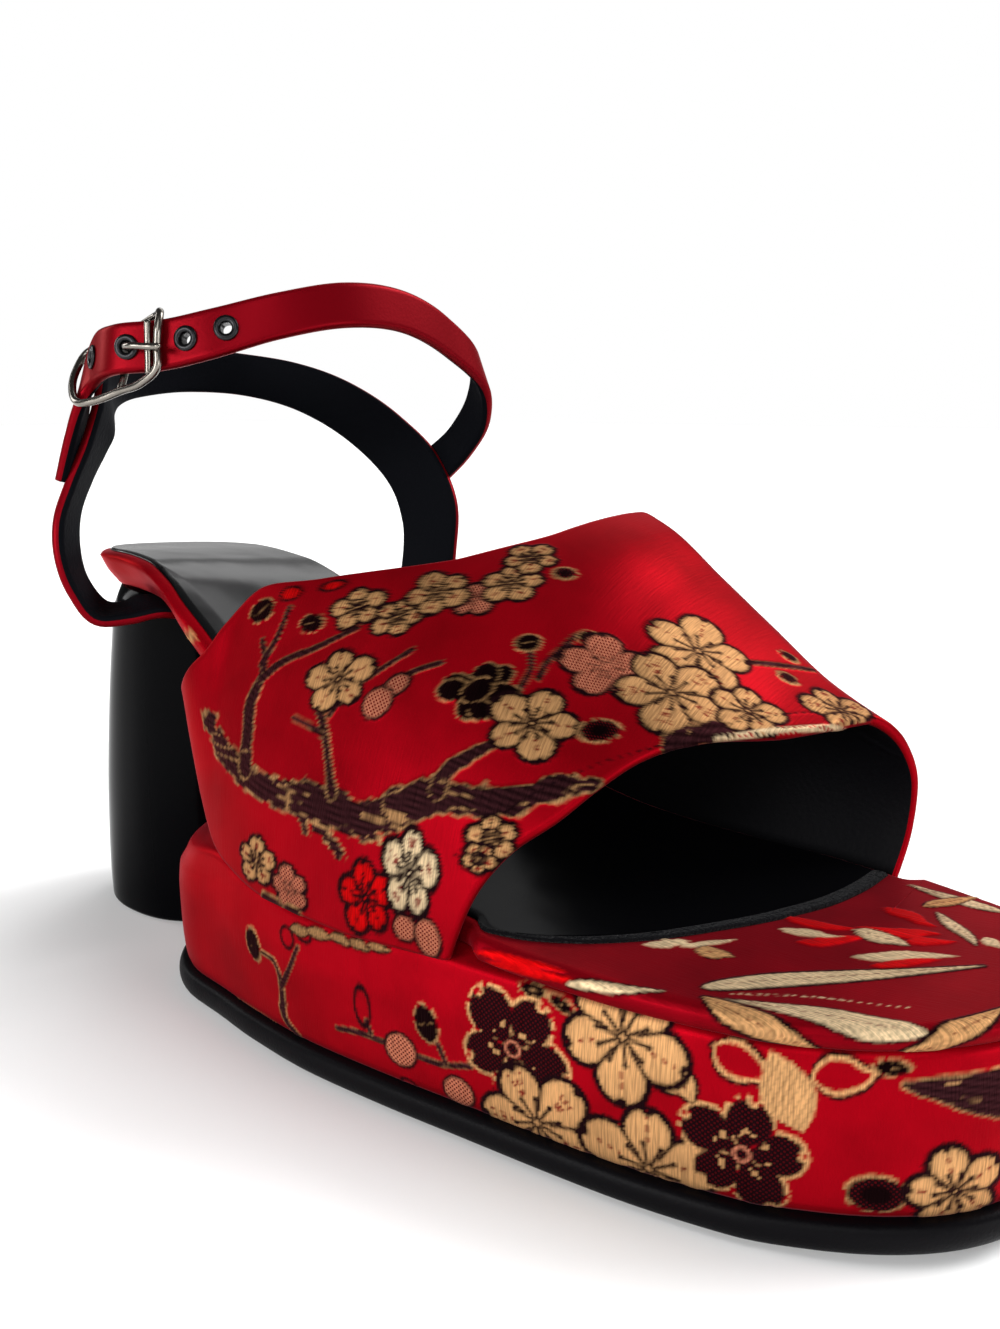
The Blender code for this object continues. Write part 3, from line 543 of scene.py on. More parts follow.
def bud(cloth, at, wide, high, kind="dark", turn=0.0, seed=1.0):
    """Oval bud with a thin outline."""
    near, u, v = cloth.local(cloth.spot(at), max(wide, high) + 2.5)
    lay = cloth.brush(near)
    a, b = turned_axes(u, v, turn)
    r = np.hypot(a / wide, b / high)
    d = (r - 1) * min(wide, high) + (grain(cloth.p[near], 0.5, seed) - 0.5) * 0.18
    dots = grain(cloth.p[near], 0.9, seed + 5) > 0.2
    if kind == "dark":
        lay(soft(d - 0.25) * dots, GOLD * 0.8, 0.1)
        lay(soft(d + 0.05), INK * 0.4, 0.26)
        lay(soft(np.abs(b - 0.15 * a) - 0.1, 0.35) * soft(d + 0.9) * dots * 0.7, GOLD * 0.6, 0.2)
    elif kind == "eye":
        lay(soft(d - 0.4) * dots, GOLD * 0.8, 0.1)
        lay(soft(d + 0.05), INK * 0.8, 0.2, net=-0.35)
        lay(soft((r - 0.55) * min(wide, high)), INK * 0.3, 0.24)
    elif kind == "mesh":
        lay(soft(d - 0.7), INK, 0.06)
        lay(soft(d), PINK, 0.2, net=1.0)
    elif kind == "loop":
        lay(soft(np.abs(d) - 0.35), INK, 0.1)
    elif kind == "red":
        lay(soft(d - 0.6), INK, 0.06)
        lay(soft(d), SCARLET, 0.2)


def span(cloth, line, reach):
    """Points near a line of places: distance from it, share of its run, side, and the whole run."""
    spots = [cloth.spot(q) for q in line]
    knots = cloth.p[spots]
    side_axis = cloth.n[spots]
    if len(knots) > 2:
        fine = glide(np.hstack([knots, side_axis]), 8 * len(knots))
        knots, side_axis = fine[:, :3], fine[:, 3:]
    run = travel(knots)
    low = knots.min(axis=0) - reach
    high = knots.max(axis=0) + reach
    near = np.nonzero(((cloth.p > low) & (cloth.p < high)).all(axis=1))[0]
    p = cloth.p[near]
    best = np.full(len(near), 1e9)
    ahead = np.zeros(len(near))
    side = np.zeros(len(near))
    for k in range(len(knots) - 1):
        ab = knots[k + 1] - knots[k]
        long = max(ab @ ab, 1e-9)
        t = np.clip((p - knots[k]) @ ab / long, 0, 1)
        off = p - knots[k] - t[:, None] * ab
        dist = np.linalg.norm(off, axis=1)
        closer = dist < best
        cross = off @ np.cross(side_axis[k], ab / math.sqrt(long))
        best = np.where(closer, dist, best)
        ahead = np.where(closer, run[k] + t * math.sqrt(long), ahead)
        side = np.where(closer, np.sign(cross), side)
    keep = (best < reach) & (cloth.n[near] @ unit(side_axis.mean(axis=0)) > 0.05)
    return near[keep], best[keep], ahead[keep] / run[-1], side[keep], run[-1]


def branch(cloth, line, start, end, rough, seed, edge=0.34):
    """Brown branch, ribbed across, with a pale outline that is ragged where the branch is rough."""
    near, dist, t, *_ = span(cloth, line, max(start, end) + rough * 3.0 + 2.0)
    lay = cloth.brush(near)
    p = cloth.p[near]
    half = np.maximum(start * (1 - t) + end * t, 0.5)
    wild = 0.15 + 1.5 * rough * min(1.0, rough / 0.4)
    knob = (haze(p, 4.5, seed) - 0.5) * rough * 2.8 + (haze(p, 1.1, seed + 1) - 0.5) * wild
    d = dist - half - knob
    flame = ease(haze(p, 2.2, seed + 5), 0.5, 0.85) * rough * 1.3
    lay(soft(d - edge - 0.6 * flame, 0.4), GOLD * (0.5 + 0.35 * grain(p, 0.55, seed + 3)[:, None]), 0.1)
    rib = 0.5 + 0.5 * np.sin(p[:, 2] * 5.0 + p[:, 1] * 0.8 + haze(p, 4.0, seed) * 2.0)
    lay(soft(d - 0.1, 0.4), BROWN * (0.3 + 0.95 * rib[:, None]), 0.14 + 0.12 * rib)
    field = haze(p * np.array([1, 0.5, 1.6]), 3.4, seed + 7)
    crack = soft(np.abs(field - 0.5) - 0.05, 0.08) * (haze(p, 5.0, seed + 9) > 0.58) * (half > 1.3)
    lay(soft(d + 0.5) * crack * 0.8, GOLD * 0.8, 0.2)


def stitches(cloth, line, wide, pitch, colour, share=0.0, lift=0.15):
    """Dashed line of thread."""
    near, dist, t, _, length = span(cloth, line, wide + 1.0)
    dash = np.sin(t * length * 2 * math.pi / pitch) > share
    cloth.brush(near)(soft(dist - wide, 0.4) * dash, colour, lift)


def leaf(cloth, tail, tip, half, kind, seed=3.0, power=0.75, outline=0.45, rib=True):
    """Slim leaf from tail to tip; its half-width is a picture size when the places are."""
    ends = np.array([tail, tip], dtype=float)
    if len(tail) == 2:
        middle = cloth.spot((ends[0] + ends[1]) / 2.0)
        run = unit(cloth.p[cloth.spot(tip)] - cloth.p[cloth.spot(tail)])
        aside = unit(np.cross(cloth.n[middle], run))
        spots, _ = picture(cloth.p[middle] + np.outer([0.0, 1.0], aside))
        lie = unit(ends[1] - ends[0])
        step = spots[1] - spots[0]
        half = half / max(0.5, abs(step[0] * lie[1] - step[1] * lie[0]))
    line = [tuple(ends[0] * (1 - q) + ends[1] * q) for q in (0.0, 0.25, 0.5, 0.75, 1.0)]
    near, dist, t, side, length = span(cloth, line, half + 2.0)
    lay = cloth.brush(near)
    shape = half * np.sin(math.pi * np.clip(t, 0, 1) ** power) ** 0.85
    d = dist - shape + (grain(cloth.p[near], 0.5, seed) - 0.5) * 0.22
    if kind == "ring":
        lay(soft(np.abs(d) - 0.45), GOLD, 0.14)
        lay(soft(np.abs(d - 0.75) - 0.3), INK, 0.05)
        return
    base = {"cream": CREAM, "gold": GOLD, "scarlet": SCARLET, "tan": GOLD * 0.5}[kind]
    if outline > 0:
        lay(soft(d - outline), INK, 0.04)
    lay(soft(d), base, 0.24)
    if kind != "scarlet":
        slant = np.sin((t * length + side * dist * 0.8) * 4.2)
        lay(soft(d + 0.2) * soft(slant + 0.55, 0.5) * 0.45, base * 0.35, 0.16)
    if rib and half > 1.2:
        dash = np.sin(t * length * 3.1) > -0.3
        lay(soft(dist - 0.12, 0.35) * dash * 0.85 * (t > 0.08) * (t < 0.9), WINE * 0.6, 0.1)


def chart(cloth, rows):
    """Draw figures in order; sizes given with a picture place are picture units, else millimetres."""
    for figure, at, *a in rows:
        options = a.pop() if isinstance(a[-1], dict) else {}
        first = at[0] if isinstance(at, list) else at
        unit_mm = cloth.deep[cloth.spot(first)] / CAMERA_FOCAL if len(first) == 2 else 1.0
        if figure == "flower":
            flower(cloth, at, a[0] * unit_mm / math.sqrt(cloth.squash), *a[1:], **options)
        elif figure == "leaf":
            leaf(cloth, at, *a, **options)
        elif figure == "stitch":
            stitches(cloth, at, *a)
        else:
            draw = {"bud": bud, "branch": branch}[figure]
            draw(cloth, at, a[0] * unit_mm, a[1] * unit_mm, *a[2:])


def outline(back, back_radius, back_power, front, front_radius, front_power, half, pitch):
    """Rounded plan: stations and both half-widths; pitch is a station and the steps before and past it."""
    change, before, past = pitch
    phi = np.linspace(0, math.pi / 2, 400)
    s_back = back + back_radius * (1 - np.cos(phi) ** (2 / back_power))
    s_mid = np.linspace(back + back_radius, front - front_radius, 402)[1:-1]
    s_front = front - front_radius + front_radius * np.sin(phi) ** (2 / front_power)
    s = np.concatenate([s_back, s_mid, s_front])
    k = np.concatenate([np.sin(phi) ** (2 / back_power), np.ones(400), np.cos(phi) ** (2 / front_power)])
    k[0] = 0
    k[-1] = 0
    outer, inner = half(s, k)
    step = np.hypot(np.diff(outer), np.diff(s)) / np.where(0.5 * (s[1:] + s[:-1]) > change, past, before)
    run = np.concatenate([[0], np.cumsum(step)])
    even = np.linspace(0, run[-1], int(run[-1]))
    return [np.interp(even, run, q) for q in (s, outer, inner)]


def plan_ring(s, outer, inner):
    """Closed ring of plan points with outward normals: outer side forward, inner side back."""
    ring = np.vstack([np.stack([outer, s], 1), np.stack([-inner, s], 1)[-2:0:-1]])
    step = np.roll(ring, -1, axis=0) - np.roll(ring, 1, axis=0)
    return ring, unit(np.stack([step[:, 1], -step[:, 0]], 1))


def ring_rows(ring, out, levels):
    """Rings at (inset, height) levels; an inset may depend on station, a height on station and x."""
    rows = []
    for inset, height in levels:
        i = inset(ring[:, 1]) if callable(inset) else np.full(len(ring), float(inset))
        plan = ring - out * i[:, None]
        rows.append(np.column_stack([plan, height(plan[:, 1], plan[:, 0])]))
    return np.array(rows)


def strip_cap(n, count, base):
    """Faces across a ring whose points pair up by station."""
    a = np.arange(1, n - 2)
    quads = np.stack([a, a + 1, count - a - 1, count - a], axis=1)
    ends = np.array([[0, 1, count - 1], [n - 2, n - 1, count - n + 2]])
    return [quads + base, ends + base]


def drum(levels, n, count):
    """Faces of a stack of rings with both ends closed."""
    return ([lattice(levels, count, wrap=True)] + strip_cap(n, count, 0)
            + strip_cap(n, count, (levels - 1) * count))


def wall_half(s, k):
    return along(WALL, "outer", s) * k, along(WALL, "inner", s) * k


def bed_top(s, x):
    tilt = HEEL_SEAT_TILT * (0.7 + 0.3 * ease(s, *TILT_GROWS)) * (1 - ease(s, *TILT_FADES))
    return along(BED, "top", s) - tilt * np.clip((HEEL_SEAT_OUTER - x) / HEEL_SEAT_WIDTH, 0, 1)


def bed_under(s, x):
    return bed_top(s, x) - along(BED, "thickness", s)


def bed_half(s, k):
    """Half-widths of the footbed, which ends flush with the wall at the toe."""
    sides = []
    for name, flush in (("outer", FLUSH_OUTER), ("inner", FLUSH_INNER)):
        free = ease(s, *flush)
        sides.append((along(BED, name, s) * (1 - free) + (along(WALL, name, s) - FLUSH_STEP) * free) * k)
    return sides


def vamp_point(angle, s):
    """Outer face of the vamp at an angle round the section of a station."""
    crown_x = along(VAMP, "crown_x", s)
    crown = along(VAMP, "crown", s)
    foot_o = along(VAMP, "outer_foot", s)
    foot_i = -along(WALL, "inner", s) - VAMP_OVERHANG
    c, d = np.cos(angle), np.sin(angle)
    out = c >= 0
    rise = np.clip((math.pi - angle) / (math.pi / 2), 0, 1)
    swell = VAMP_INNER_BULGE * np.sin(math.pi * rise ** VAMP_BULGE_LEVEL) ** VAMP_BULGE_POWER
    x_in = crown_x + (foot_i - crown_x) * np.abs(c) ** VAMP_INNER_POWER - swell
    x = np.where(out, crown_x + (foot_o - crown_x) * np.abs(c), x_in)
    base = np.where(out, along(VAMP, "outer_base", s), along(VAMP, "inner_base", s))
    return np.stack([x, s, base + (crown - base) * d], axis=-1)


def shader_of(mat):
    return mat.node_tree.nodes["Principled BSDF"]


def node_of(mat, kind, output, feeds, **settings):
    """Output of a new shader node; feeds gives a number, a colour or another output for each input."""
    node = mat.node_tree.nodes.new("ShaderNode" + kind)
    for key, value in settings.items():
        setattr(node, key, value)
    for socket, value in feeds.items():
        if isinstance(value, bpy.types.NodeSocket):
            mat.node_tree.links.new(value, node.inputs[socket])
        else:
            node.inputs[socket].default_value = value
    return node.outputs[output]


def ranged(mat, value, low, high, to_low=0.0, to_high=1.0):
    return node_of(mat, "MapRange", "Result", {
        "Value": value, "From Min": low, "From Max": high, "To Min": to_low, "To Max": to_high})


def bumpy(mat, height, strength, distance):
    bump = node_of(mat, "Bump", "Normal", {"Height": height, "Strength": strength, "Distance": distance})
    mat.node_tree.links.new(bump, shader_of(mat).inputs["Normal"])


def plain(name, colour, rough, bump=None, detail=3.0, metal=0.0, sheen=0.0, specular=0.5, tint=WHITE):
    """Material of one colour; bump gives the scale, strength and depth of its fine grain."""
    mat = bpy.data.materials.new(name)
    mat.use_nodes = True
    for socket, value in (("Base Color", (*colour, 1.0)), ("Roughness", rough), ("Metallic", metal),
                          ("Sheen Weight", sheen), ("Specular IOR Level", specular),
                          ("Specular Tint", (*tint, 1.0))):
        shader_of(mat).inputs[socket].default_value = value
    if bump:
        place = node_of(mat, "TexCoord", "Object", {})
        noise = node_of(mat, "TexNoise", "Fac", {"Vector": place, "Scale": bump[0], "Detail": detail})
        bumpy(mat, noise, *bump[1:])
    return mat


def brocade(name):
    """Woven cloth: dyed points, satin ground, figure threads that run up the cloth, and net filling."""
    mat = plain(name, GROUND, 0.4, metal=0.45, sheen=0.06, specular=0.02, tint=RED_SHINE)
    shader = shader_of(mat)
    shader.inputs["Sheen Tint"].default_value = (1.0, 0.4, 0.5, 1.0)
    shader.inputs["Sheen Roughness"].default_value = 0.4

    def read(attribute, output="Fac"):
        return node_of(mat, "Attribute", output, {}, attribute_name=attribute)

    def sums(operation, *terms):
        return node_of(mat, "Math", "Value", dict(enumerate(terms)), operation=operation)

    def mixed(share, a, b, kind="RGBA"):
        return node_of(mat, "Mix", "Result", {"Factor": share, "A": a, "B": b}, data_type=kind)

    weave, net, cord, rise = (read(key) for key in ("weave", "net", "cord", "rise"))
    thread = node_of(mat, "CombineXYZ", "Vector", {"X": sums("MULTIPLY", cord, 3.2),
                                                   "Y": sums("MULTIPLY", rise, 0.16)})
    streak = node_of(mat, "TexNoise", "Fac", {"Vector": thread, "Scale": 1.0, "Detail": 2.0},
                     noise_dimensions="2D")
    figure = mixed(weave, 1.0, ranged(mat, streak, 0.3, 0.62, 0.66, 1.08), "FLOAT")
    waves = [sums("SINE", sums("MULTIPLY", way, 6.3)) for way in (cord, rise)]
    dots = ranged(mat, sums("MULTIPLY", *waves), 0.1, 0.5)
    holes = sums("MULTIPLY", dots, sums("MAXIMUM", net, 0.0))
    flecks = sums("MULTIPLY", dots, sums("MAXIMUM", sums("MULTIPLY", net, -1.0), 0.0))
    place = node_of(mat, "TexCoord", "Object", {})
    cloud = node_of(mat, "TexNoise", "Fac", {"Vector": place, "Scale": 70.0, "Detail": 5.0})
    shade = sums("MULTIPLY", figure, ranged(mat, cloud, 0.3, 0.7, 0.8, 1.15))
    dye = node_of(mat, "VectorMath", "Vector", {0: read("dye", "Color"), "Scale": shade}, operation="SCALE")
    netted = mixed(holes, dye, (*(WINE * 0.55), 1.0))
    link = mat.node_tree.links.new
    link(mixed(flecks, netted, (*WINE, 1.0)), shader.inputs["Base Color"])
    link(ranged(mat, weave, 0.0, 1.0, 0.42, 0.55), shader.inputs["Roughness"])
    bumpy(mat, sums("MULTIPLY", streak, sums("MULTIPLY_ADD", weave, 0.9, 0.3)), 0.35, 0.0003)
    return mat


def sock_leather():
    """Leather, polished under the heel and dull towards the ball of the foot."""
    mat = plain("sock_leather", srgb(7, 7, 9), 0.22, (55.0, 0.22, 0.002), detail=1.5)
    place = node_of(mat, "TexCoord", "Object", {})
    forward = node_of(mat, "SeparateXYZ", "Y", {"Vector": place})
    polish = ranged(mat, forward, -0.035, 0.0, 0.4, 0.03)
    mat.node_tree.links.new(polish, shader_of(mat).inputs["Specular IOR Level"])
    return mat


BROCADE = brocade("brocade")
LINING = plain("lining", srgb(15, 16, 20), 0.6, (900.0, 0.25, 0.0006), specular=0.012)
VAMP_LINING = plain("vamp_lining", srgb(6, 6, 9), 0.6, (900.0, 0.2, 0.0006), specular=0.08)
SATIN = plain("strap_satin", srgb(124, 4, 17), 0.38, (1500.0, 0.06, 0.0005), metal=0.4, specular=0.06,
              tint=RED_SHINE)
LEATHER = sock_leather()
SUEDE = plain("suede", srgb(15, 15, 18), 0.95, (1600.0, 0.7, 0.0012), sheen=0.06, specular=0.03)
LACQUER = plain("heel_lacquer", srgb(4, 4, 6), 0.14, (160.0, 0.03, 0.0006), specular=0.03)
RUBBER = plain("rubber", srgb(8, 7, 10), 0.45, (1600.0, 0.18, 0.0005), specular=0.07)
STEEL = plain("buckle_steel", srgb(122, 117, 110), 0.25, (900.0, 0.03, 0.0003), metal=1.0)
BLACK_METAL = plain("eyelet_black", srgb(18, 18, 21), 0.3, (900.0, 0.04, 0.0003), metal=0.6)


def wire(name, points, radius, sides, mat, closed=False):
    """Round wire along a line of points, rounded off at free ends."""
    p = np.asarray(points, dtype=float)
    count = len(p)
    thick = np.full(count, float(radius))
    run = unit(np.roll(p, -1, axis=0) - np.roll(p, 1, axis=0)) if closed else unit(np.gradient(p, axis=0))
    if not closed:
        cap = np.linspace(0, 1, 6)[:-1]
        head = p[0] - run[0] * radius * (1 - cap[:, None])
        tail = p[-1] + run[-1] * radius * (1 - cap[::-1, None])
        ends = np.sqrt(np.clip(1 - (1 - cap) ** 2, 0.02, 1)) * radius
        p = np.vstack([head, p, tail])
        run = np.vstack([np.repeat(run[:1], 5, 0), run, np.repeat(run[-1:], 5, 0)])
        thick = np.concatenate([ends, thick, ends[::-1]])
        count = len(p)
    side = np.array(Vector(run[0]).orthogonal())
    phi = np.linspace(0, 2 * math.pi, sides, endpoint=False)[:, None]
    rows = []
    for i in range(count):
        side = unit(side - run[i] * (side @ run[i]))
        third = np.cross(run[i], side)
        rows.append(p[i] + thick[i] * (side * np.cos(phi) + third * np.sin(phi)))
    faces = [lattice(count, sides, wrap=True)]
    last = (count - 1) * sides
    j = np.arange(sides)
    if closed:
        twist = int(np.argmin(np.linalg.norm(rows[0] - rows[-1][0], axis=1)))
        k = (j + 1) % sides
        faces.append(np.stack([last + j, last + k, (k + twist) % sides, (j + twist) % sides], 1))
    else:
        faces += [j[None, ::-1], last + j[None, :]]
    return add_mesh(name, np.array(rows).reshape(-1, 3), faces, [mat])


def turned(name, centre, axis, profile, sides, mat):
    """Ring turned about an axis from a closed profile of (radius, height)."""
    axis = unit(np.asarray(axis, dtype=float))
    side = np.array(Vector(axis).orthogonal().normalized())
    third = np.cross(axis, side)
    phi = np.linspace(0, 2 * math.pi, sides, endpoint=False)
    out = np.cos(phi)[:, None] * side + np.sin(phi)[:, None] * third
    prof = np.asarray(profile, dtype=float)
    verts = centre + out[:, None, :] * prof[None, :, :1] + axis * prof[None, :, 1:]
    rows, cols = verts.shape[:2]
    faces = lattice(rows + 1, cols, wrap=True) % (rows * cols)
    return add_mesh(name, verts.reshape(-1, 3), [faces], [mat])


# Platform: dense wall, then the step up under the footbed.
def wall_low(t, x):
    return spring(t) + OUTSOLE_THICKNESS + GAP


def wall_top(t, x):
    return along(WALL, "top", t)


def back_share(t):
    """1 at the back of the platform, 0 past its rounding."""
    return 1 - ease(t, PLATFORM_BACK, PLATFORM_BACK_END)


def wall_level(share):
    """Level of the wall: its edge rolls in further at the back."""
    inset = float(follow(WALL_FORM, "share", "inset", share))
    grow = WALL_ROLL_GROWTH if share > WALL_ROLL_START and inset > 0 else 0.0
    return (lambda t: inset * (1 + grow * back_share(t)),
            lambda t, x: wall_low(t, x) * (1 - share) + wall_top(t, x) * share)


def wall_tuck(extra):
    """Inset of the step under the footbed."""
    def inset(t):
        let_in = along(WALL, "outer", t) - along(BED, "outer", t)
        return np.clip(let_in, *SEAT_INSET) + extra + SEAT_BACK_INSET * back_share(t)
    return inset


def wall_seat(t, x):
    ramp = SEAT_LOW + SEAT_RISE * ease(t, *SEAT_RUN)
    return np.maximum(wall_top(t, x), np.minimum(bed_under(t, x) - GAP, ramp))


def platform_plan(pitch):
    return outline(PLATFORM_BACK, PLATFORM_BACK_RADIUS, PLATFORM_BACK_POWER,
                   TOE_STATION, TOE_RADIUS, TOE_POWER, wall_half, pitch)


WALL_LEVELS = 62
wall_plan = platform_plan(WALL_PITCH)
wall_n = len(wall_plan[0])
wall_ring, wall_out = plan_ring(*wall_plan)
wall_rows = ring_rows(wall_ring, wall_out, [wall_level(q) for q in np.linspace(0, 1, WALL_LEVELS)])
seat_rows = ring_rows(wall_ring, wall_out, [(wall_tuck(0.0), wall_top), (wall_tuck(SEAT_SLOPE), wall_seat)])
wall_cloth = Cloth(wall_rows, faced(ring_normals(wall_rows), (WALL_LEVELS // 2, wall_n // 2), 0))

# Vamp: one loop of outer face, rolled front, lining and rolled rear for each angle.
FACE_COLS = 180
ROLL_COLS = 7
LINING_COLS = 22
HALF_WALL = VAMP_WALL / 2
FINE_ANGLES = np.linspace(0, 115, 250)
COARSE_ANGLES = np.linspace(115, 180, 86)[1:]
angle = np.radians(np.concatenate([FINE_ANGLES, COARSE_ANGLES]))
rear, front = (follow(VAMP_EDGE, "angle", key, np.degrees(angle))[:, None] for key in ("rear", "front"))
angles = np.repeat(angle[:, None], FACE_COLS, 1)
even = np.linspace(0, 1, FACE_COLS)
flat = vamp_point(angles, rear * (1 - even) + front * even)
start = (HALF_WALL / np.linalg.norm(np.diff(flat, axis=1), axis=2).sum(axis=1))[:, None]
inner_even = start + (1 - 2 * start) * even
face = vamp_point(angles, rear * (1 - inner_even) + front * inner_even)
face_n = faced(surface_normals(face), (len(angle) // 2, FACE_COLS // 2), 2)
face_n[0, :, 2] = 0
face_n[-1, :, 2] = 0
face_n = unit(face_n)


def rolled(col, next_col, phis):
    """Half-round edge at a column of the face: its points and normals."""
    normal = face_n[:, col]
    beyond = unit(face[:, col] - face[:, next_col])
    ways = np.stack([math.cos(q) * normal + math.sin(q) * beyond for q in phis], 1)
    return (face[:, col] - HALF_WALL * normal)[:, None] + HALF_WALL * ways, ways


phis = np.linspace(0, math.pi, ROLL_COLS + 2)[1:-1]
front_roll, front_n = rolled(-1, -2, phis)
rear_roll, rear_n = rolled(0, 1, phis[::-1])
pick = np.linspace(FACE_COLS - 1, 0, LINING_COLS).astype(int)
under = face[:, pick] - VAMP_WALL * face_n[:, pick]
loops = np.concatenate([face, front_roll, under, rear_roll], axis=1)
loop_n = np.concatenate([face_n, front_n, -face_n[:, pick], rear_n], axis=1)
# The vamp is a darker copy of the same brocade: its ground (0.84) and its figure colours (0.72) are darkened
# as painted shade.
vamp_cloth = Cloth(loops, loop_n, ground=GROUND * 0.84, squash=0.8, shade_scale=0.72)


# Footbed: rolled rim, then the top as rows across.
def rim_level(step):
    columns = ("inset", "tuck", "share", "drop")
    inset, tuck, share, drop = (float(follow(RIM, "step", key, step)) for key in columns)
    return (lambda t: inset + tuck * (1 - ease(t, *RIM_TUCK)),
            lambda t, x: bed_under(t, x) * (1 - share) + bed_top(t, x) * share - drop)


RIM_LEVELS = 19
BED_COLS = 130
bed_plan = outline(HEEL_SEAT_BACK, HEEL_SEAT_RADIUS, HEEL_SEAT_POWER, TOE_STATION - FLUSH_STEP, TOE_RADIUS,
                   TOE_POWER, bed_half, BED_PITCH)
bed_ring, bed_out = plan_ring(*bed_plan)
bed_n, bed_count = len(bed_plan[0]), len(bed_ring)
rim_rows = ring_rows(bed_ring, bed_out, [rim_level(q) for q in np.linspace(0, RIM["step"][-1], RIM_LEVELS)])
side_o = rim_rows[-1, 1:bed_n - 1]
side_i = rim_rows[-1, bed_count - np.arange(1, bed_n - 1)]
across = np.linspace(0, 1, BED_COLS + 2)[1:-1]
top = side_o[:, None, :] * (1 - across[None, :, None]) + side_i[:, None, :] * across[None, :, None]
top[..., 2] = bed_top(top[..., 1], top[..., 0])
rim_n = faced(ring_normals(rim_rows), (RIM_LEVELS // 2, bed_n // 2), 0)
rim_n[-1] = np.array([0, 0, 1.0])
top_n = faced(surface_normals(top), (bed_n // 2, BED_COLS // 2), 2)
bed_cloth = Cloth(np.concatenate([q.reshape(-1, 3) for q in (rim_rows, top)]),
                  np.concatenate([q.reshape(-1, 3) for q in (rim_n, top_n)]))
# Painted shade: the footbed's ground and figures darken into a deeper red from station 120 to 170 and stay so
# to the toe.
toe_shade = ease(bed_cloth.p[:, 1], *TOE_SHADE_RUN)[:, None]
bed_cloth.dye = bed_cloth.dye * (1 - toe_shade) + TOE_SHADE_RED * toe_shade

# Charts of the brocade, drawn in order. Rows: flower, place, size, kind, turn, seed; bud, place, half-width,
# half-height, kind, turn, seed; branch, places, half-widths of both ends, roughness, seed; leaf, tail, tip,
# half-width, kind; stitch, places, half-width, pitch, colour.
TWIG = (0.05, 2.0, 0.12)
BARE = {"outline": 0.0, "rib": False}

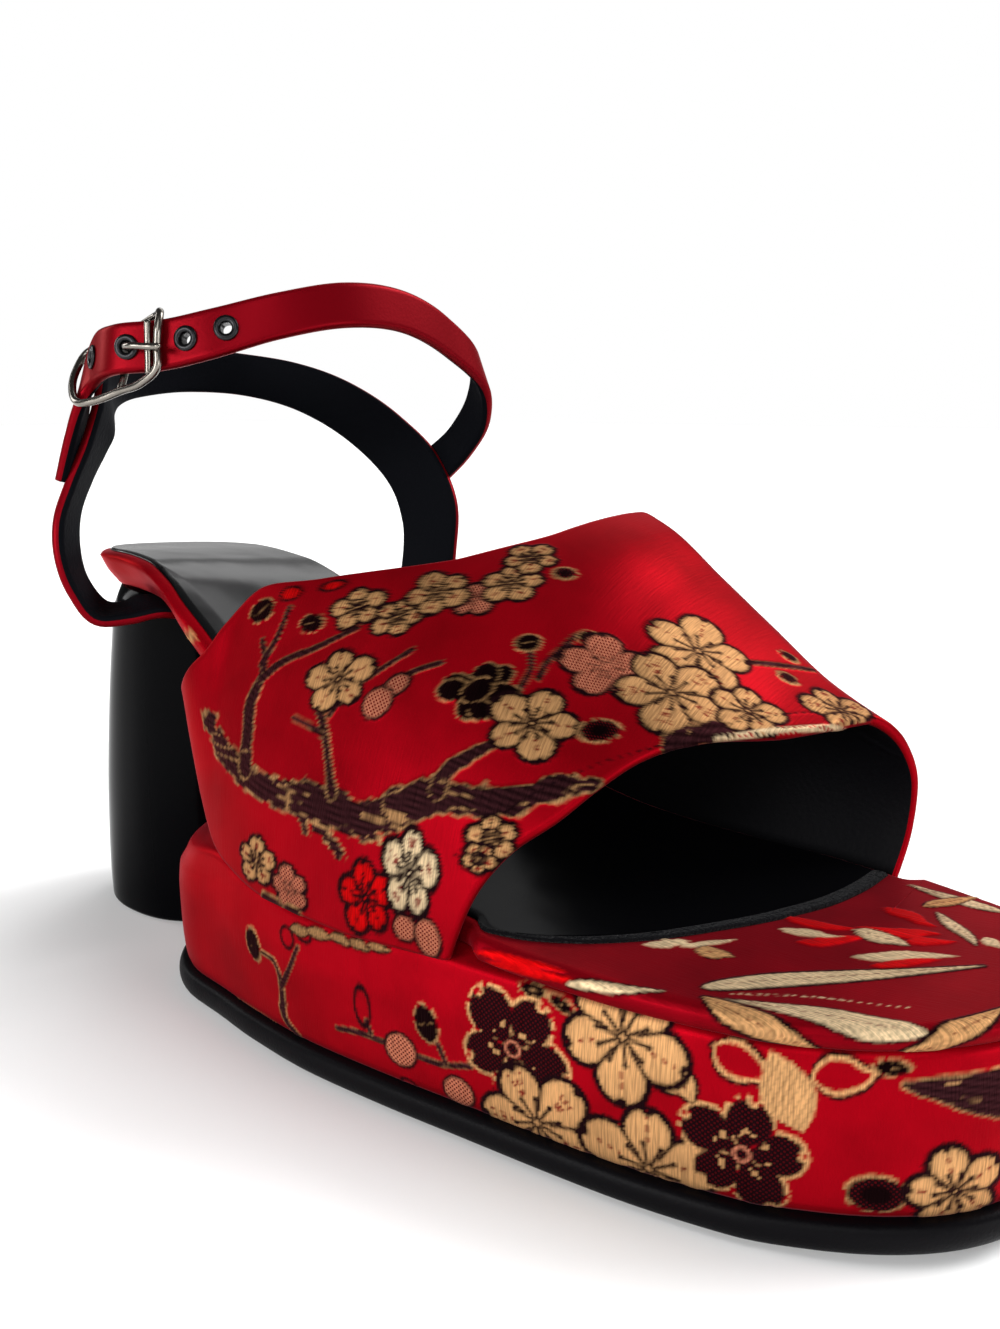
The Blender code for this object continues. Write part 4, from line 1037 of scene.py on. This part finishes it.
VAMP_CHART = [
    # Main branch along the lower outer side, with its jagged under edge.
    ("branch", [(330, 800), (316, 818), (338, 850)], 12, 5, 0.8, 4),
    ("branch", [(290, 795), (300, 815), (306, 830)], 10, 4, 0.6, 5),
    ("branch", [(209, 722), (226, 752), (242, 775), (272, 792), (305, 802), (340, 812), (372, 815),
     (398, 810)], 9, 19, 1.0, 6),
    ("branch", [(398, 810), (428, 800), (470, 800), (520, 797), (560, 786), (592, 784)], 17, 9, 0.7, 7),
    ("branch", [(438, 790), (446, 772), (468, 756), (492, 744), (510, 734)], 8, 4, 0.3, 8),
    ("branch", [(246, 768), (247, 735), (252, 700), (262, 679)], 8, 5, 0.3, 9),
    ("branch", [(262, 679), (264, 660), (262, 640)], 4, 2.5, *TWIG),
    ("branch", [(262, 679), (282, 662), (312, 649), (358, 628)], 4, 2, *TWIG),
    ("branch", [(262, 665), (276, 640), (289, 609)], 3.5, 2, *TWIG),
    ("branch", [(332, 795), (328, 765), (325, 732), (318, 704)], 5, 3, 0.2, 10),
    ("branch", [(293, 718), (306, 724), (322, 735)], 2.2, 3, *TWIG),
    ("branch", [(330, 715), (352, 690), (378, 670), (412, 650)], 2.5, 1.8, *TWIG),
    ("branch", [(393, 684), (416, 672), (441, 662)], 2.2, 1.6, *TWIG),
    ("branch", [(540, 678), (548, 662), (562, 648), (576, 634)], 3, 2, *TWIG),
    ("branch", [(520, 690), (530, 668), (530, 650)], 3, 2.2, *TWIG),
    ("branch", [(745, 662), (778, 664), (815, 668)], 2.6, 1.6, *TWIG),
    # Buds near the upper rear.
    ("bud", (262, 611), 15, 12, "dark", 20), ("bud", (312, 623), 14, 10, "dark", -10),
    ("bud", (290, 594), 10, 6, "red"), ("bud", (334, 585), 10, 4, "red"),
    # Top cluster.
    ("flower", (358, 608), 26, "gold", 20, 2), ("flower", (397, 618), 24, "gold", 60, 3),
    ("flower", (474, 599), 22, "pink", 10, 4), ("flower", (438, 592), 30, "gold", 36, 5),
    ("flower", (512, 583), 28, "gold", 8, 6), ("flower", (530, 558), 24, "gold", 50, 7),
    ("bud", (565, 572), 11, 8, "eye"),
    # Lone flower on the left with its mesh buds.
    ("flower", (338, 679), 36, "gold", 16, 8), ("bud", (397, 684), 14, 9, "mesh", 20),
    ("bud", (378, 702), 17, 14, "mesh", 30),
    # Middle group.
    ("flower", (479, 690), 38, "dark", 30, 9), ("flower", (531, 722), 42, "gold", -10, 10),
    ("bud", (528, 643), 13, 10), ("bud", (588, 638), 11, 8), ("bud", (599, 731), 20, 12, "eye", 5),
    ("flower", (606, 668), 42, "pink", 20, 11), ("flower", (698, 652), 54, "gold", 6, 12),
    ("flower", (672, 692), 54, "gold", 40, 13), ("bud", (790, 656), 11, 6),
    ("bud", (788, 677), 11, 7, "eye"),
    # Front edge.
    ("branch", [(672, 748), (692, 738), (722, 732)], 14, 12, 0.5, 11),
    ("flower", (748, 710), 36, "gold", 12, 14), ("flower", (841, 710), 38, "gold", 44, 15),
    ("flower", (492, 838), 24, "gold", 22, 16), ("flower", (478, 858), 16, "gold", 50, 17),
    ("stitch", [(454, 857), (500, 815), (553, 783), (605, 760), (656, 745), (690, 734),
     (721, 726)], 0.2, 1.9, INK),
    ("stitch", [(721, 726), (760, 718), (802, 713), (840, 713), (875, 719)], 0.2, 1.9, INK),
    ("stitch", [(716, 741), (745, 735), (775, 730), (802, 728), (835, 730), (862, 736),
     (882, 752)], 0.75, 1.3, CREAM, -0.85, 0.25),
    # Lower flowers near the seam.
    ("flower", (290, 888), 24, "pink", 30, 18),
    ("branch", [(266, 900), (276, 912), (290, 922)], 8, 5, 0.4, 12),
    ("flower", (256, 860), 26, "gold", 15, 19), ("flower", (365, 898), 30, "red", 25, 20, {"squash": 1.1}),
    ("flower", (409, 872), 29, "cream", 10, 21, {"squash": 1.4}), ("bud", (405, 928), 13, 12, "mesh"),
    ("bud", (427, 938), 14, 18, "mesh", 20),
    # Front edge of the inner side.
    ("branch", [(-46, 204, 78), (-49, 207, 66), (-48, 208, 52)], 3.0, 2.2, 0.6, 16),
    # Inner side, out of the picture.
    ("branch", [(-36, 120, 52), (-41, 140, 58), (-46, 160, 66), (-48, 180, 62),
     (-44, 200, 56)], 4.5, 2.5, 0.8, 13),
    ("branch", [(-48, 165, 66), (-50, 165, 80), (-47, 168, 92)], 1.4, 0.7, *TWIG),
    ("flower", (-50, 152, 84), 8.5, "gold", 20, 22), ("flower", (-50, 176, 82), 8.5, "dark", 0, 23),
    ("flower", (-46, 186, 72), 8.0, "gold", 50, 24), ("flower", (-40, 140, 100), 9.0, "gold", 12, 25),
    ("flower", (-42, 190, 50), 8.0, "pink", 30, 26), ("flower", (-38, 130, 44), 8.5, "red", 15, 27),
    ("flower", (-38, 146, 42), 8.5, "gold", 40, 28),
]

WALL_CHART = [
    # Twig and leaves below the seam.
    ("branch", [(296, 1038), (284, 1015), (281, 990), (273, 962), (262, 952)], 4.5, 2.5, 0.25, 3),
    ("branch", [(281, 985), (290, 965), (298, 948)], 3, 2, *TWIG), ("bud", (253, 944), 11, 17, "dark", 20),
    ("bud", (286, 938), 9, 11, "loop", 30), ("bud", (303, 935), 10, 7, "loop", -20),
    # Braided threads along the seam, and a faint stray thread low down.
    ("leaf", (291, 928), (312, 934), 4.5, "tan", {"seed": 2.0}),
    ("leaf", (308, 929), (331, 939), 4.5, "tan", {"seed": 4.0}),
    ("leaf", (330, 936), (352, 944), 4.0, "tan", {"seed": 6.0}),
    ("leaf", (350, 940), (370, 950), 4.0, "tan", {"seed": 8.0}),
    ("leaf", (368, 944), (390, 951), 3.5, "tan", {"seed": 9.0}),
    ("stitch", [(230, 999), (252, 1012), (272, 1025)], 0.25, 1.0, GOLD * 0.5),
    # Stems and buds towards the flowers.
    ("branch", [(337, 1027), (360, 1033), (384, 1043)], 2.4, 2.4, *TWIG),
    ("branch", [(366, 1020), (371, 1032)], 1.6, 1.6, *TWIG),
    ("branch", [(416, 1056), (440, 1064), (470, 1066)], 2.4, 2.2, *TWIG),
    ("branch", [(430, 1030), (440, 1048), (446, 1064)], 2.0, 2.2, *TWIG),
    ("bud", (362, 1006), 10, 21, "loop", 5), ("bud", (427, 1023), 14, 20, "dark", 15),
    ("bud", (400, 1051), 18, 17, "mesh"), ("bud", (408, 1086), 9, 7, "loop"),
    ("bud", (458, 1092), 17, 16, "mesh"),
    # Dark tuft under the lip.
    ("bud", (534, 991), 15, 7, "dark", -12, 2), ("bud", (563, 1004), 15, 6, "dark", -25, 3),
    # Large flowers.
    ("flower", (512, 1048), 62, "mesh", 60, 31),
    ("leaf", (650, 1046), (694, 1102), 17, "gold", {"outline": 0.8}),
    ("flower", (624, 1036), 68, "gold", -92, 32, {"line": 1.2}),
    ("flower", (538, 1122), 64, "gold", 52, 33, {"line": 1.2}),
    ("flower", (648, 1168), 70, "gold", 28, 34, {"line": 1.2}), ("flower", (742, 1155), 62, "mesh", 10, 35),
    ("leaf", (714, 1046), (768, 1082), 17, "ring"), ("leaf", (812, 1080), (874, 1074), 18, "ring"),
    ("leaf", (770, 1050), (802, 1132), 27, "gold", {"outline": 0.0, "power": 1.1, "rib": False}),
    ("bud", (891, 1068), 17, 8), ("branch", [(903, 1086), (945, 1090), (1000, 1094)], 3, 27, 0.3, 14),
    ("bud", (877, 1195), 29, 21, "eye", 0, 37), ("flower", (956, 1192), 50, "gold", 34, 38, {"line": 1.2}),
    # Round the toe and along the inner side, out of the picture.
    ("branch", [(12, 252, 30), (2, 254, 31), (-9, 253, 27)], 3.0, 1.4, 0.4, 17),
    ("flower", (-18, 250, 24), 9, "gold", 10, 39), ("flower", (-30, 238, 26), 8, "mesh", 30, 40),
    ("flower", (-34, 222, 18), 9, "gold", 50, 41),
    ("branch", [(-36, 214, 28), (-38, 196, 22), (-38, 176, 26), (-36, 156, 20)], 2.2, 1.2, 0.5, 15),
    ("flower", (-38, 190, 30), 7, "gold", 20, 42), ("flower", (-37, 168, 16), 8, "red", 20, 43),
    ("flower", (-34, 140, 24), 8, "gold", 0, 44), ("flower", (-31, 112, 22), 8, "mesh", 40, 45),
    ("flower", (-29, 94, 26), 7, "gold", 15, 46), ("bud", (-30, 104, 12), 3, 2.5, "mesh"),
    ("bud", (-36, 152, 32), 3, 2), ("flower", (10, 52, 22), 8, "gold", 25, 47),
    ("flower", (-14, 53, 16), 7, "pink", 45, 48),
]

BED_CHART = [
    ("leaf", (473, 951), (566, 972), 5, "scarlet", BARE),
    ("leaf", (486, 962), (590, 986), 5, "scarlet", BARE),
    ("leaf", (568, 984), (664, 992), 5, "cream", {"power": 0.6}),
    ("leaf", (644, 944), (690, 940), 3.5, "cream", BARE),
    ("leaf", (682, 946), (735, 938), 2.5, "cream", BARE),
    ("leaf", (660, 938), (700, 946), 2.5, "cream", BARE), ("leaf", (696, 950), (733, 955), 5, "gold"),
    ("leaf", (784, 917), (856, 929), 3.5, "scarlet", BARE),
    ("leaf", (798, 942), (868, 936), 4.5, "scarlet", BARE),
    ("leaf", (858, 926), (930, 938), 3.5, "scarlet", BARE),
    ("leaf", (884, 907), (935, 925), 4.5, "scarlet", BARE),
    ("leaf", (872, 930), (940, 933), 4.5, "scarlet", BARE),
    ("leaf", (905, 940), (955, 941), 3.5, "scarlet", BARE),
    ("leaf", (872, 966), (940, 958), 4, "scarlet", BARE),
    ("leaf", (780, 929), (842, 935), 3.5, "cream", BARE), ("leaf", (855, 929), (908, 945), 5.5, "cream"),
    ("leaf", (938, 912), (976, 943), 4.5, "cream", {"power": 0.9}),
    ("leaf", (853, 956), (958, 955), 4.5, "cream", BARE),
    ("leaf", (985, 938), (1000, 948), 5, "cream", BARE),
    ("leaf", (704, 985), (984, 966), 6, "cream", {"power": 0.55, "outline": 0.7}),
    ("stitch", [(729, 993), (820, 998), (911, 1007)], 0.2, 1.5, CREAM),
    ("leaf", (726, 998), (930, 1034), 8, "cream", {"power": 1.5}),
    ("leaf", (704, 996), (814, 1053), 14, "gold", {"outline": 0.8, "power": 0.8}),
    ("leaf", (902, 1060), (1004, 1008), 12, "gold", {"power": 0.8, "outline": 0.7}),
    ("leaf", (183, 632), (195, 640), 5, "gold", {"outline": 0.0}),
    ("leaf", (-23, 236, 43), (-28, 216, 41), 1.5, "cream"),
    ("leaf", (-19, 222, 41), (-29, 229, 42), 1.5, "gold"),
    ("leaf", (2, 246, 43), (-12, 250, 43.5), 1.8, "cream"),
]

for cloth, rows in ((vamp_cloth, VAMP_CHART), (wall_cloth, WALL_CHART), (bed_cloth, BED_CHART)):
    chart(cloth, rows)

cover = add_mesh("platform_cover", np.vstack([wall_cloth.raised(), seat_rows.reshape(-1, 3)]),
                 drum(len(wall_rows) + len(seat_rows), wall_n, len(wall_ring)), [BROCADE])
wall_cloth.paint(cover, np.tile(travel(wall_ring), len(wall_rows)), wall_cloth.p[:, 2])
publish(cover, "brocade_wall", "platform")

lining_start = FACE_COLS + ROLL_COLS
vamp = sleeve("vamp_brocade", vamp_cloth.raised(), len(angle), [BROCADE, VAMP_LINING],
              (lining_start - 1, lining_start + LINING_COLS))
vamp_cloth.paint(vamp, vamp_cloth.p[:, 1], np.repeat(travel(face[:, FACE_COLS // 2]), loops.shape[1]))
publish(vamp, "brocade_vamp", "vamp")

# Footbed faces: rim, underside, top, the joints of top and rim, and a fan at each end.
rim_total = len(rim_rows) * bed_count
last = rim_total - bed_count
i = np.arange(1, bed_n - 2)
row = rim_total + i * BED_COLS
near_side = np.stack([last + i, last + i + 1, row, row - BED_COLS], 1)
far_side = np.stack([row - 1, row + BED_COLS - 1, last + bed_count - i - 1, last + bed_count - i], 1)


def fan(tip, a, row_start, b):
    line = np.concatenate([[a], row_start + np.arange(BED_COLS), [b]])
    return np.stack([np.full(len(line) - 1, tip), line[:-1], line[1:]], 1)


toe = last + bed_n - 1
bed_faces = [lattice(len(rim_rows), bed_count, wrap=True), lattice(bed_n - 2, BED_COLS, start=rim_total),
             near_side, far_side, fan(last, last + 1, rim_total, last + bed_count - 1),
             fan(toe, toe - 1, rim_total + (bed_n - 3) * BED_COLS, toe + 1)]
bed = add_mesh("footbed_cover", bed_cloth.raised(), bed_faces + strip_cap(bed_n, bed_count, 0), [BROCADE])
bed_cloth.paint(bed, bed_cloth.p[:, 0], bed_cloth.p[:, 1])
publish(bed, "brocade_bed", "insole")

# Sock lining with a raw suede front edge.
SUEDE_START = 0.984
LEATHER_ROWS = 150
SIDE_EDGE = 0.05
END_EDGE = 0.004
NAP_RISE = 0.15
NAP_ROUGH = 0.35
NAP_FRAY = 0.5
u = np.sin(np.linspace(-math.pi / 2, math.pi / 2, 90))
t = np.concatenate([np.linspace(0, SUEDE_START, LEATHER_ROWS), np.linspace(SUEDE_START, 1, 9)[1:]])
tg, ug = np.meshgrid(t, u, indexing="ij")
round_off = 1 - np.clip(1 - np.abs(ug) ** HEEL_SEAT_POWER, 0, 1) ** (1 / HEEL_SEAT_POWER)
back = HEEL_SEAT_BACK + SOCK_INSET + (HEEL_SEAT_RADIUS - SOCK_INSET) * round_off
sg = back * (1 - tg) + follow(SOCK_FRONT, "across", "station", ug) * tg
half_o, half_i = bed_half(sg, 1.0)
xg = ug * (np.where(ug > 0, half_o, half_i) - SOCK_INSET)
edge = np.minimum(np.minimum(1 - np.abs(ug), SIDE_EDGE) / SIDE_EDGE, np.minimum(tg, END_EDGE) / END_EDGE)
zg = bed_top(sg, xg) + SOCK_RISE - SOCK_ROLL * (1 - np.sqrt(np.clip(edge, 0, 1)))
upper = np.stack([xg, sg, zg], -1)
fuzz = ease(tg, SUEDE_START, SUEDE_START + END_EDGE)
jitter = grain(upper, 0.6, 5.0) - 0.5
upper[..., 2] += fuzz * (NAP_RISE + NAP_ROUGH * jitter) * (tg < 0.999)
upper[..., 1] += fuzz * NAP_FRAY * jitter
lower = np.stack([xg, sg, bed_top(sg, xg) + SOCK_SEAT], -1)
sock_rows, sock_cols = upper.shape[:2]
total = sock_rows * sock_cols
number = np.arange(total).reshape(sock_rows, sock_cols)
border = np.concatenate([number[0], number[1:, -1], number[-1, -2::-1], number[-2:0:-1, 0]])
after = np.roll(border, -1)
side_faces = np.stack([border, after, total + after, total + border], 1)
suede_top = np.repeat(np.arange(sock_rows - 1) >= LEATHER_ROWS - 1, sock_cols - 1).astype(int)
suede_side = (np.minimum(border, after) >= LEATHER_ROWS * sock_cols).astype(int)
sheet = lattice(sock_rows, sock_cols)
sock = add_mesh("sock_lining", np.vstack([upper.reshape(-1, 3), lower.reshape(-1, 3)]),
                [sheet, total + sheet[:, ::-1], side_faces], [LEATHER, SUEDE],
                np.concatenate([suede_top, suede_top * 0, suede_side]))
publish(sock, "sock_leather", "insole_sock")

# Heel block.
count = 160
phi = np.linspace(0, 2 * math.pi, count, endpoint=False)
c, d = np.cos(phi), np.sin(phi)
power = np.where(d > 0, HEEL_FRONT_POWER, HEEL_BACK_POWER)
rows = []
levels = [np.linspace(0, HEEL_ROUND, 7)[:-1], np.linspace(HEEL_ROUND, HEEL_SIDE_TOP, 44), [HEEL_TOP]]
for z in np.concatenate(levels):
    q = HEEL_ROUND * (1 - math.sqrt(max(0.0, 1 - max(0.0, 1 - z / HEEL_ROUND) ** 2)))
    back, front, half = (follow(HEEL, "height", k, max(z, HEEL_ROUND)) for k in ("back", "front", "half"))
    back, front, half = back + q, front - q, half - q
    middle = back + 0.5 * (front - back)
    x = half * np.sign(c) * np.abs(c) ** (2 / power)
    st = middle + np.where(d > 0, front - middle, middle - back) * np.sign(d) * np.abs(d) ** (2 / power)
    rows.append(np.stack([x, st, np.full(count, z) if z < HEEL_TOP else bed_under(st, x) - GAP], 1))
quarter = count // 4
k = np.arange(1, count // 2 - 1)[:, None]
quads = (quarter + k * [1, 1, -1, -1] + [0, 1, -1, 0]) % count
tips = quarter + np.array([[0, 1, -1], [count // 2 - 1, count // 2, count // 2 + 1]])
caps = [base + q for base in (0, (len(rows) - 1) * count) for q in (quads, tips)]
heel = add_mesh("heel_block", np.array(rows).reshape(-1, 3),
                [lattice(len(rows), count, wrap=True)] + caps, [LACQUER])
publish(heel, "heel_lacquer", "heel")

# Outsole with its rounded edge.
sole_plan = platform_plan(SOLE_PITCH)
sole_ring, sole_out = plan_ring(*sole_plan)
sole_rows = ring_rows(sole_ring, sole_out, [(q, lambda t, x, h=h: spring(t) + h)
                                            for q, h in zip(SOLE_EDGE["inset"], SOLE_EDGE["height"])])
sole = add_mesh("outsole_rubber", sole_rows.reshape(-1, 3),
                drum(len(sole_rows), len(sole_plan[0]), len(sole_ring)), [RUBBER])
publish(sole, "rubber", "outsole")

# Strap of two bands, with its eyelets.
BAND_COLS = 17
EDGE_COLS = 9
BAND_LINING = (BAND_COLS + 5, 2 * BAND_COLS + EDGE_COLS + 3)


def band_frames(tab, count):
    """Both edges of a strap and its unit normal towards the ankle."""
    path = glide(np.stack([tab[c] for c in BAND_COLUMNS.split()], axis=1), count)
    a, b = path[:, :3], path[:, 3:]
    return a, b, unit(np.cross(np.gradient((a + b) / 2, axis=0), a - b))


def band(name, tab, count):
    """Strap: satin outside and round the edges, lining over the whole ankle side."""
    a, b, n = band_frames(tab, count)
    width = np.linalg.norm(b - a, axis=1)
    half = STRAP_THICKNESS / 2
    turn = np.linspace(0, math.pi, EDGE_COLS + 2)[1:-1]
    sections = []
    for row, w in enumerate(width):
        pts = [(STRAP_EDGE + (w - 2 * STRAP_EDGE) * q, -half) for q in np.linspace(0, 1, BAND_COLS)]
        pts += [(w - STRAP_EDGE + STRAP_EDGE * math.sin(q), -half * math.cos(q)) for q in turn]
        pts += [(STRAP_EDGE + (w - 2 * STRAP_EDGE) * q, half) for q in np.linspace(1, 0, BAND_COLS)]
        pts += [(STRAP_EDGE - STRAP_EDGE * math.sin(q), half * math.cos(q)) for q in turn]
        pts = np.array(pts)
        sections.append(a[row] + pts[:, :1] * unit(b[row] - a[row]) + pts[:, 1:] * n[row])
    return sleeve(name, np.array(sections).reshape(-1, 3), count, [SATIN, LINING], BAND_LINING)


def strap_spot(station):
    """Middle of the front band on the outer side at a station, and its way out from the ankle."""
    a, b, normal = band_frames(FRONT_BAND, 400)
    middle = (a + b) / 2
    near = [i for i, (x, _, z) in enumerate(middle) if x > BUCKLE_SIDE and z > BUCKLE_LOW]
    i = min(near, key=lambda q: abs(middle[q, 1] - station))
    return middle[i], normal[i] if normal[i, 0] > 0 else -normal[i]


def punch(obj, spot, outward):
    """Round hole through a strap."""
    reach = outward * DRILL_REACH
    drill = wire("drill", np.linspace(spot - reach, spot + reach, 4), EYELET_HOLE, 32, SATIN)
    step = obj.modifiers.new("cut", "BOOLEAN")
    step.operation = "DIFFERENCE"
    step.solver = "EXACT"
    step.object = drill
    bpy.context.view_layer.update()
    cut = bpy.data.meshes.new_from_object(obj.evaluated_get(bpy.context.evaluated_depsgraph_get()))
    obj.modifiers.clear()
    obj.data = cut
    bpy.data.objects.remove(drill, do_unlink=True)


back_band = band("strap_back", BACK_BAND, 300)
front_band = band("strap_front", FRONT_BAND, 320)
half_strap = STRAP_THICKNESS / 2
lip = half_strap + EYELET_STAND
EYELET_FORM = [(EYELET_BORE, -half_strap), (EYELET_BARREL, -half_strap), (EYELET_BARREL, lip),
               (EYELET_FLANGE, lip), (EYELET_FLANGE, lip + 0.12), (2.62, lip + 0.32), (2.3, lip + 0.48),
               (1.9, lip + 0.5), (1.55, lip + 0.38), (1.32, lip + 0.15)]
for number, station in enumerate(EYELET_STATIONS, start=1):
    spot, outward = strap_spot(station)
    punch(front_band, spot, outward)
    eyelet = turned("eyelet_ring_%d" % number, spot, outward, EYELET_FORM, 48, BLACK_METAL)
    publish(eyelet, "eyelet_black", "eyelet_%d" % number)
publish(back_band, "strap_satin", "ankle_strap")
publish(front_band, "strap_satin", "ankle_strap")

# Buckle.
publish(wire("buckle_wire", glide(BUCKLE, 220, closed=True), WIRE_RADIUS, 16, STEEL, closed=True),
        "buckle_steel", "buckle_frame")
bar = wire("buckle_bar", np.linspace(*BUCKLE[list(BAR_ENDS)], 12), BAR_RADIUS, 16, STEEL)
publish(bar, "buckle_steel", "buckle_frame")
roller = wire("buckle_roller", ROLLER, ROLLER_RADIUS, 16, STEEL)
publish(roller, "buckle_steel", "buckle_frame")
spot, outward = strap_spot(EYELET_STATIONS[PRONG_EYELET])
*line, bend = (spot + outward * q for q in PRONG_OUT)
rest = BUCKLE[0] + PRONG_REST
line += [bend + PRONG_BEND, rest, rest + PRONG_TIP]
publish(wire("buckle_tongue", glide(line, 60), PRONG_RADIUS, 14, STEEL), "buckle_steel", "buckle_prong")

# Floor in metres, and its light.
FLOOR_REACH = 6
FLOOR_GLOW = 0.12
BACKDROP_LIGHT = 0.08
floor_mesh = bpy.data.meshes.new("floor")
corners = [(FLOOR_REACH * x, FLOOR_REACH * y, 0) for x, y in ((-1, -1), (1, -1), (1, 1), (-1, 1))]
floor_mesh.from_pydata(corners, [], [(0, 1, 2, 3)])
floor = place_object("floor", floor_mesh)
FLOOR = plain("floor_white", (0.8, 0.8, 0.8), 0.9, specular=0.0)
shader_of(FLOOR).inputs["Emission Color"].default_value = (1, 1, 1, 1)
shader_of(FLOOR).inputs["Emission Strength"].default_value = FLOOR_GLOW
floor_mesh.materials.append(FLOOR)
floor.visible_diffuse = False

# White backdrop that lights the object only a little.
world = bpy.data.worlds.new("studio")
world.use_nodes = True
sky = world.node_tree.nodes["Background"]
sky.inputs["Color"].default_value = (1, 1, 1, 1)
seen = node_of(world, "LightPath", "Is Camera Ray", {})
world.node_tree.links.new(ranged(world, seen, 0.0, 1.0, BACKDROP_LIGHT, 1.0), sky.inputs["Strength"])
bpy.context.scene.world = world
bpy.context.scene.view_settings.view_transform = "Standard"


def lamp(name, kind, way, energy, **settings):
    """Light that shines along a way."""
    light = bpy.data.lights.new(name, kind)
    light.energy = energy
    for key, value in settings.items():
        setattr(light, key, value)
    obj = place_object(name, light)
    obj.rotation_euler = Vector(way).to_track_quat("-Z", "Y").to_euler()
    return obj


# Light from a window, and a broad light that falls on the floor alone.
lamp("window", "SUN", (0.64, -0.46, -0.6), 2.6, angle=math.radians(30))
wash = lamp("floor_wash", "SUN", (0.5, -0.36, -0.8), 3.4, angle=math.radians(60))
floor_group = bpy.data.collections.new("floor_group")
floor_group.objects.link(floor)
wash.light_linking.receiver_collection = floor_group

# Soft boxes in metres: name, place, aim, size and power.
SOFT_BOXES = [
    ("side", (1.0, -0.15, 0.3), (0, -0.02, 0.03), (0.5, 0.35), 6.0),
    ("front", (0.8, 0.6, 0.6), (0, 0.08, 0.04), (0.6, 0.6), 3.5),
    ("back", (-1.3, -0.8, 0.3), (0, -0.05, 0.09), (2.2, 0.5), 2.2),
    ("top", (-0.9, -0.55, 0.9), (0, -0.02, 0.08), (1.0, 0.6), 3.2),
    ("toe", (0.15, 1.1, 0.12), (0.01, 0.11, 0.02), (0.5, 0.3), 3.0),
    ("strip", (0.29, -1.05, 0.53), (0.03, 0.02, 0.06), (0.25, 0.5), 2.6),
]
for name, at, aim, (size, size_y), power in SOFT_BOXES:
    box = lamp(name, "AREA", Vector(aim) - Vector(at), power, shape="RECTANGLE", size=size, size_y=size_y)
    box.location = at

camera = bpy.data.cameras.new("camera")
camera.sensor_fit = "HORIZONTAL"
camera.sensor_width = SENSOR
camera.lens = CAMERA_FOCAL * SENSOR / PICTURE[0]
camera.clip_start = 0.01
eye = place_object("camera", camera)
place = np.eye(4)
place[:3, 0], place[:3, 1], place[:3, 2] = RIGHT, UP, -FORWARD
place[:3, 3] = CAMERA_AT * MM - np.array([0, MID_STATION * MM, 0])
eye.matrix_world = Matrix(place.tolist())
bpy.context.scene.camera = eye
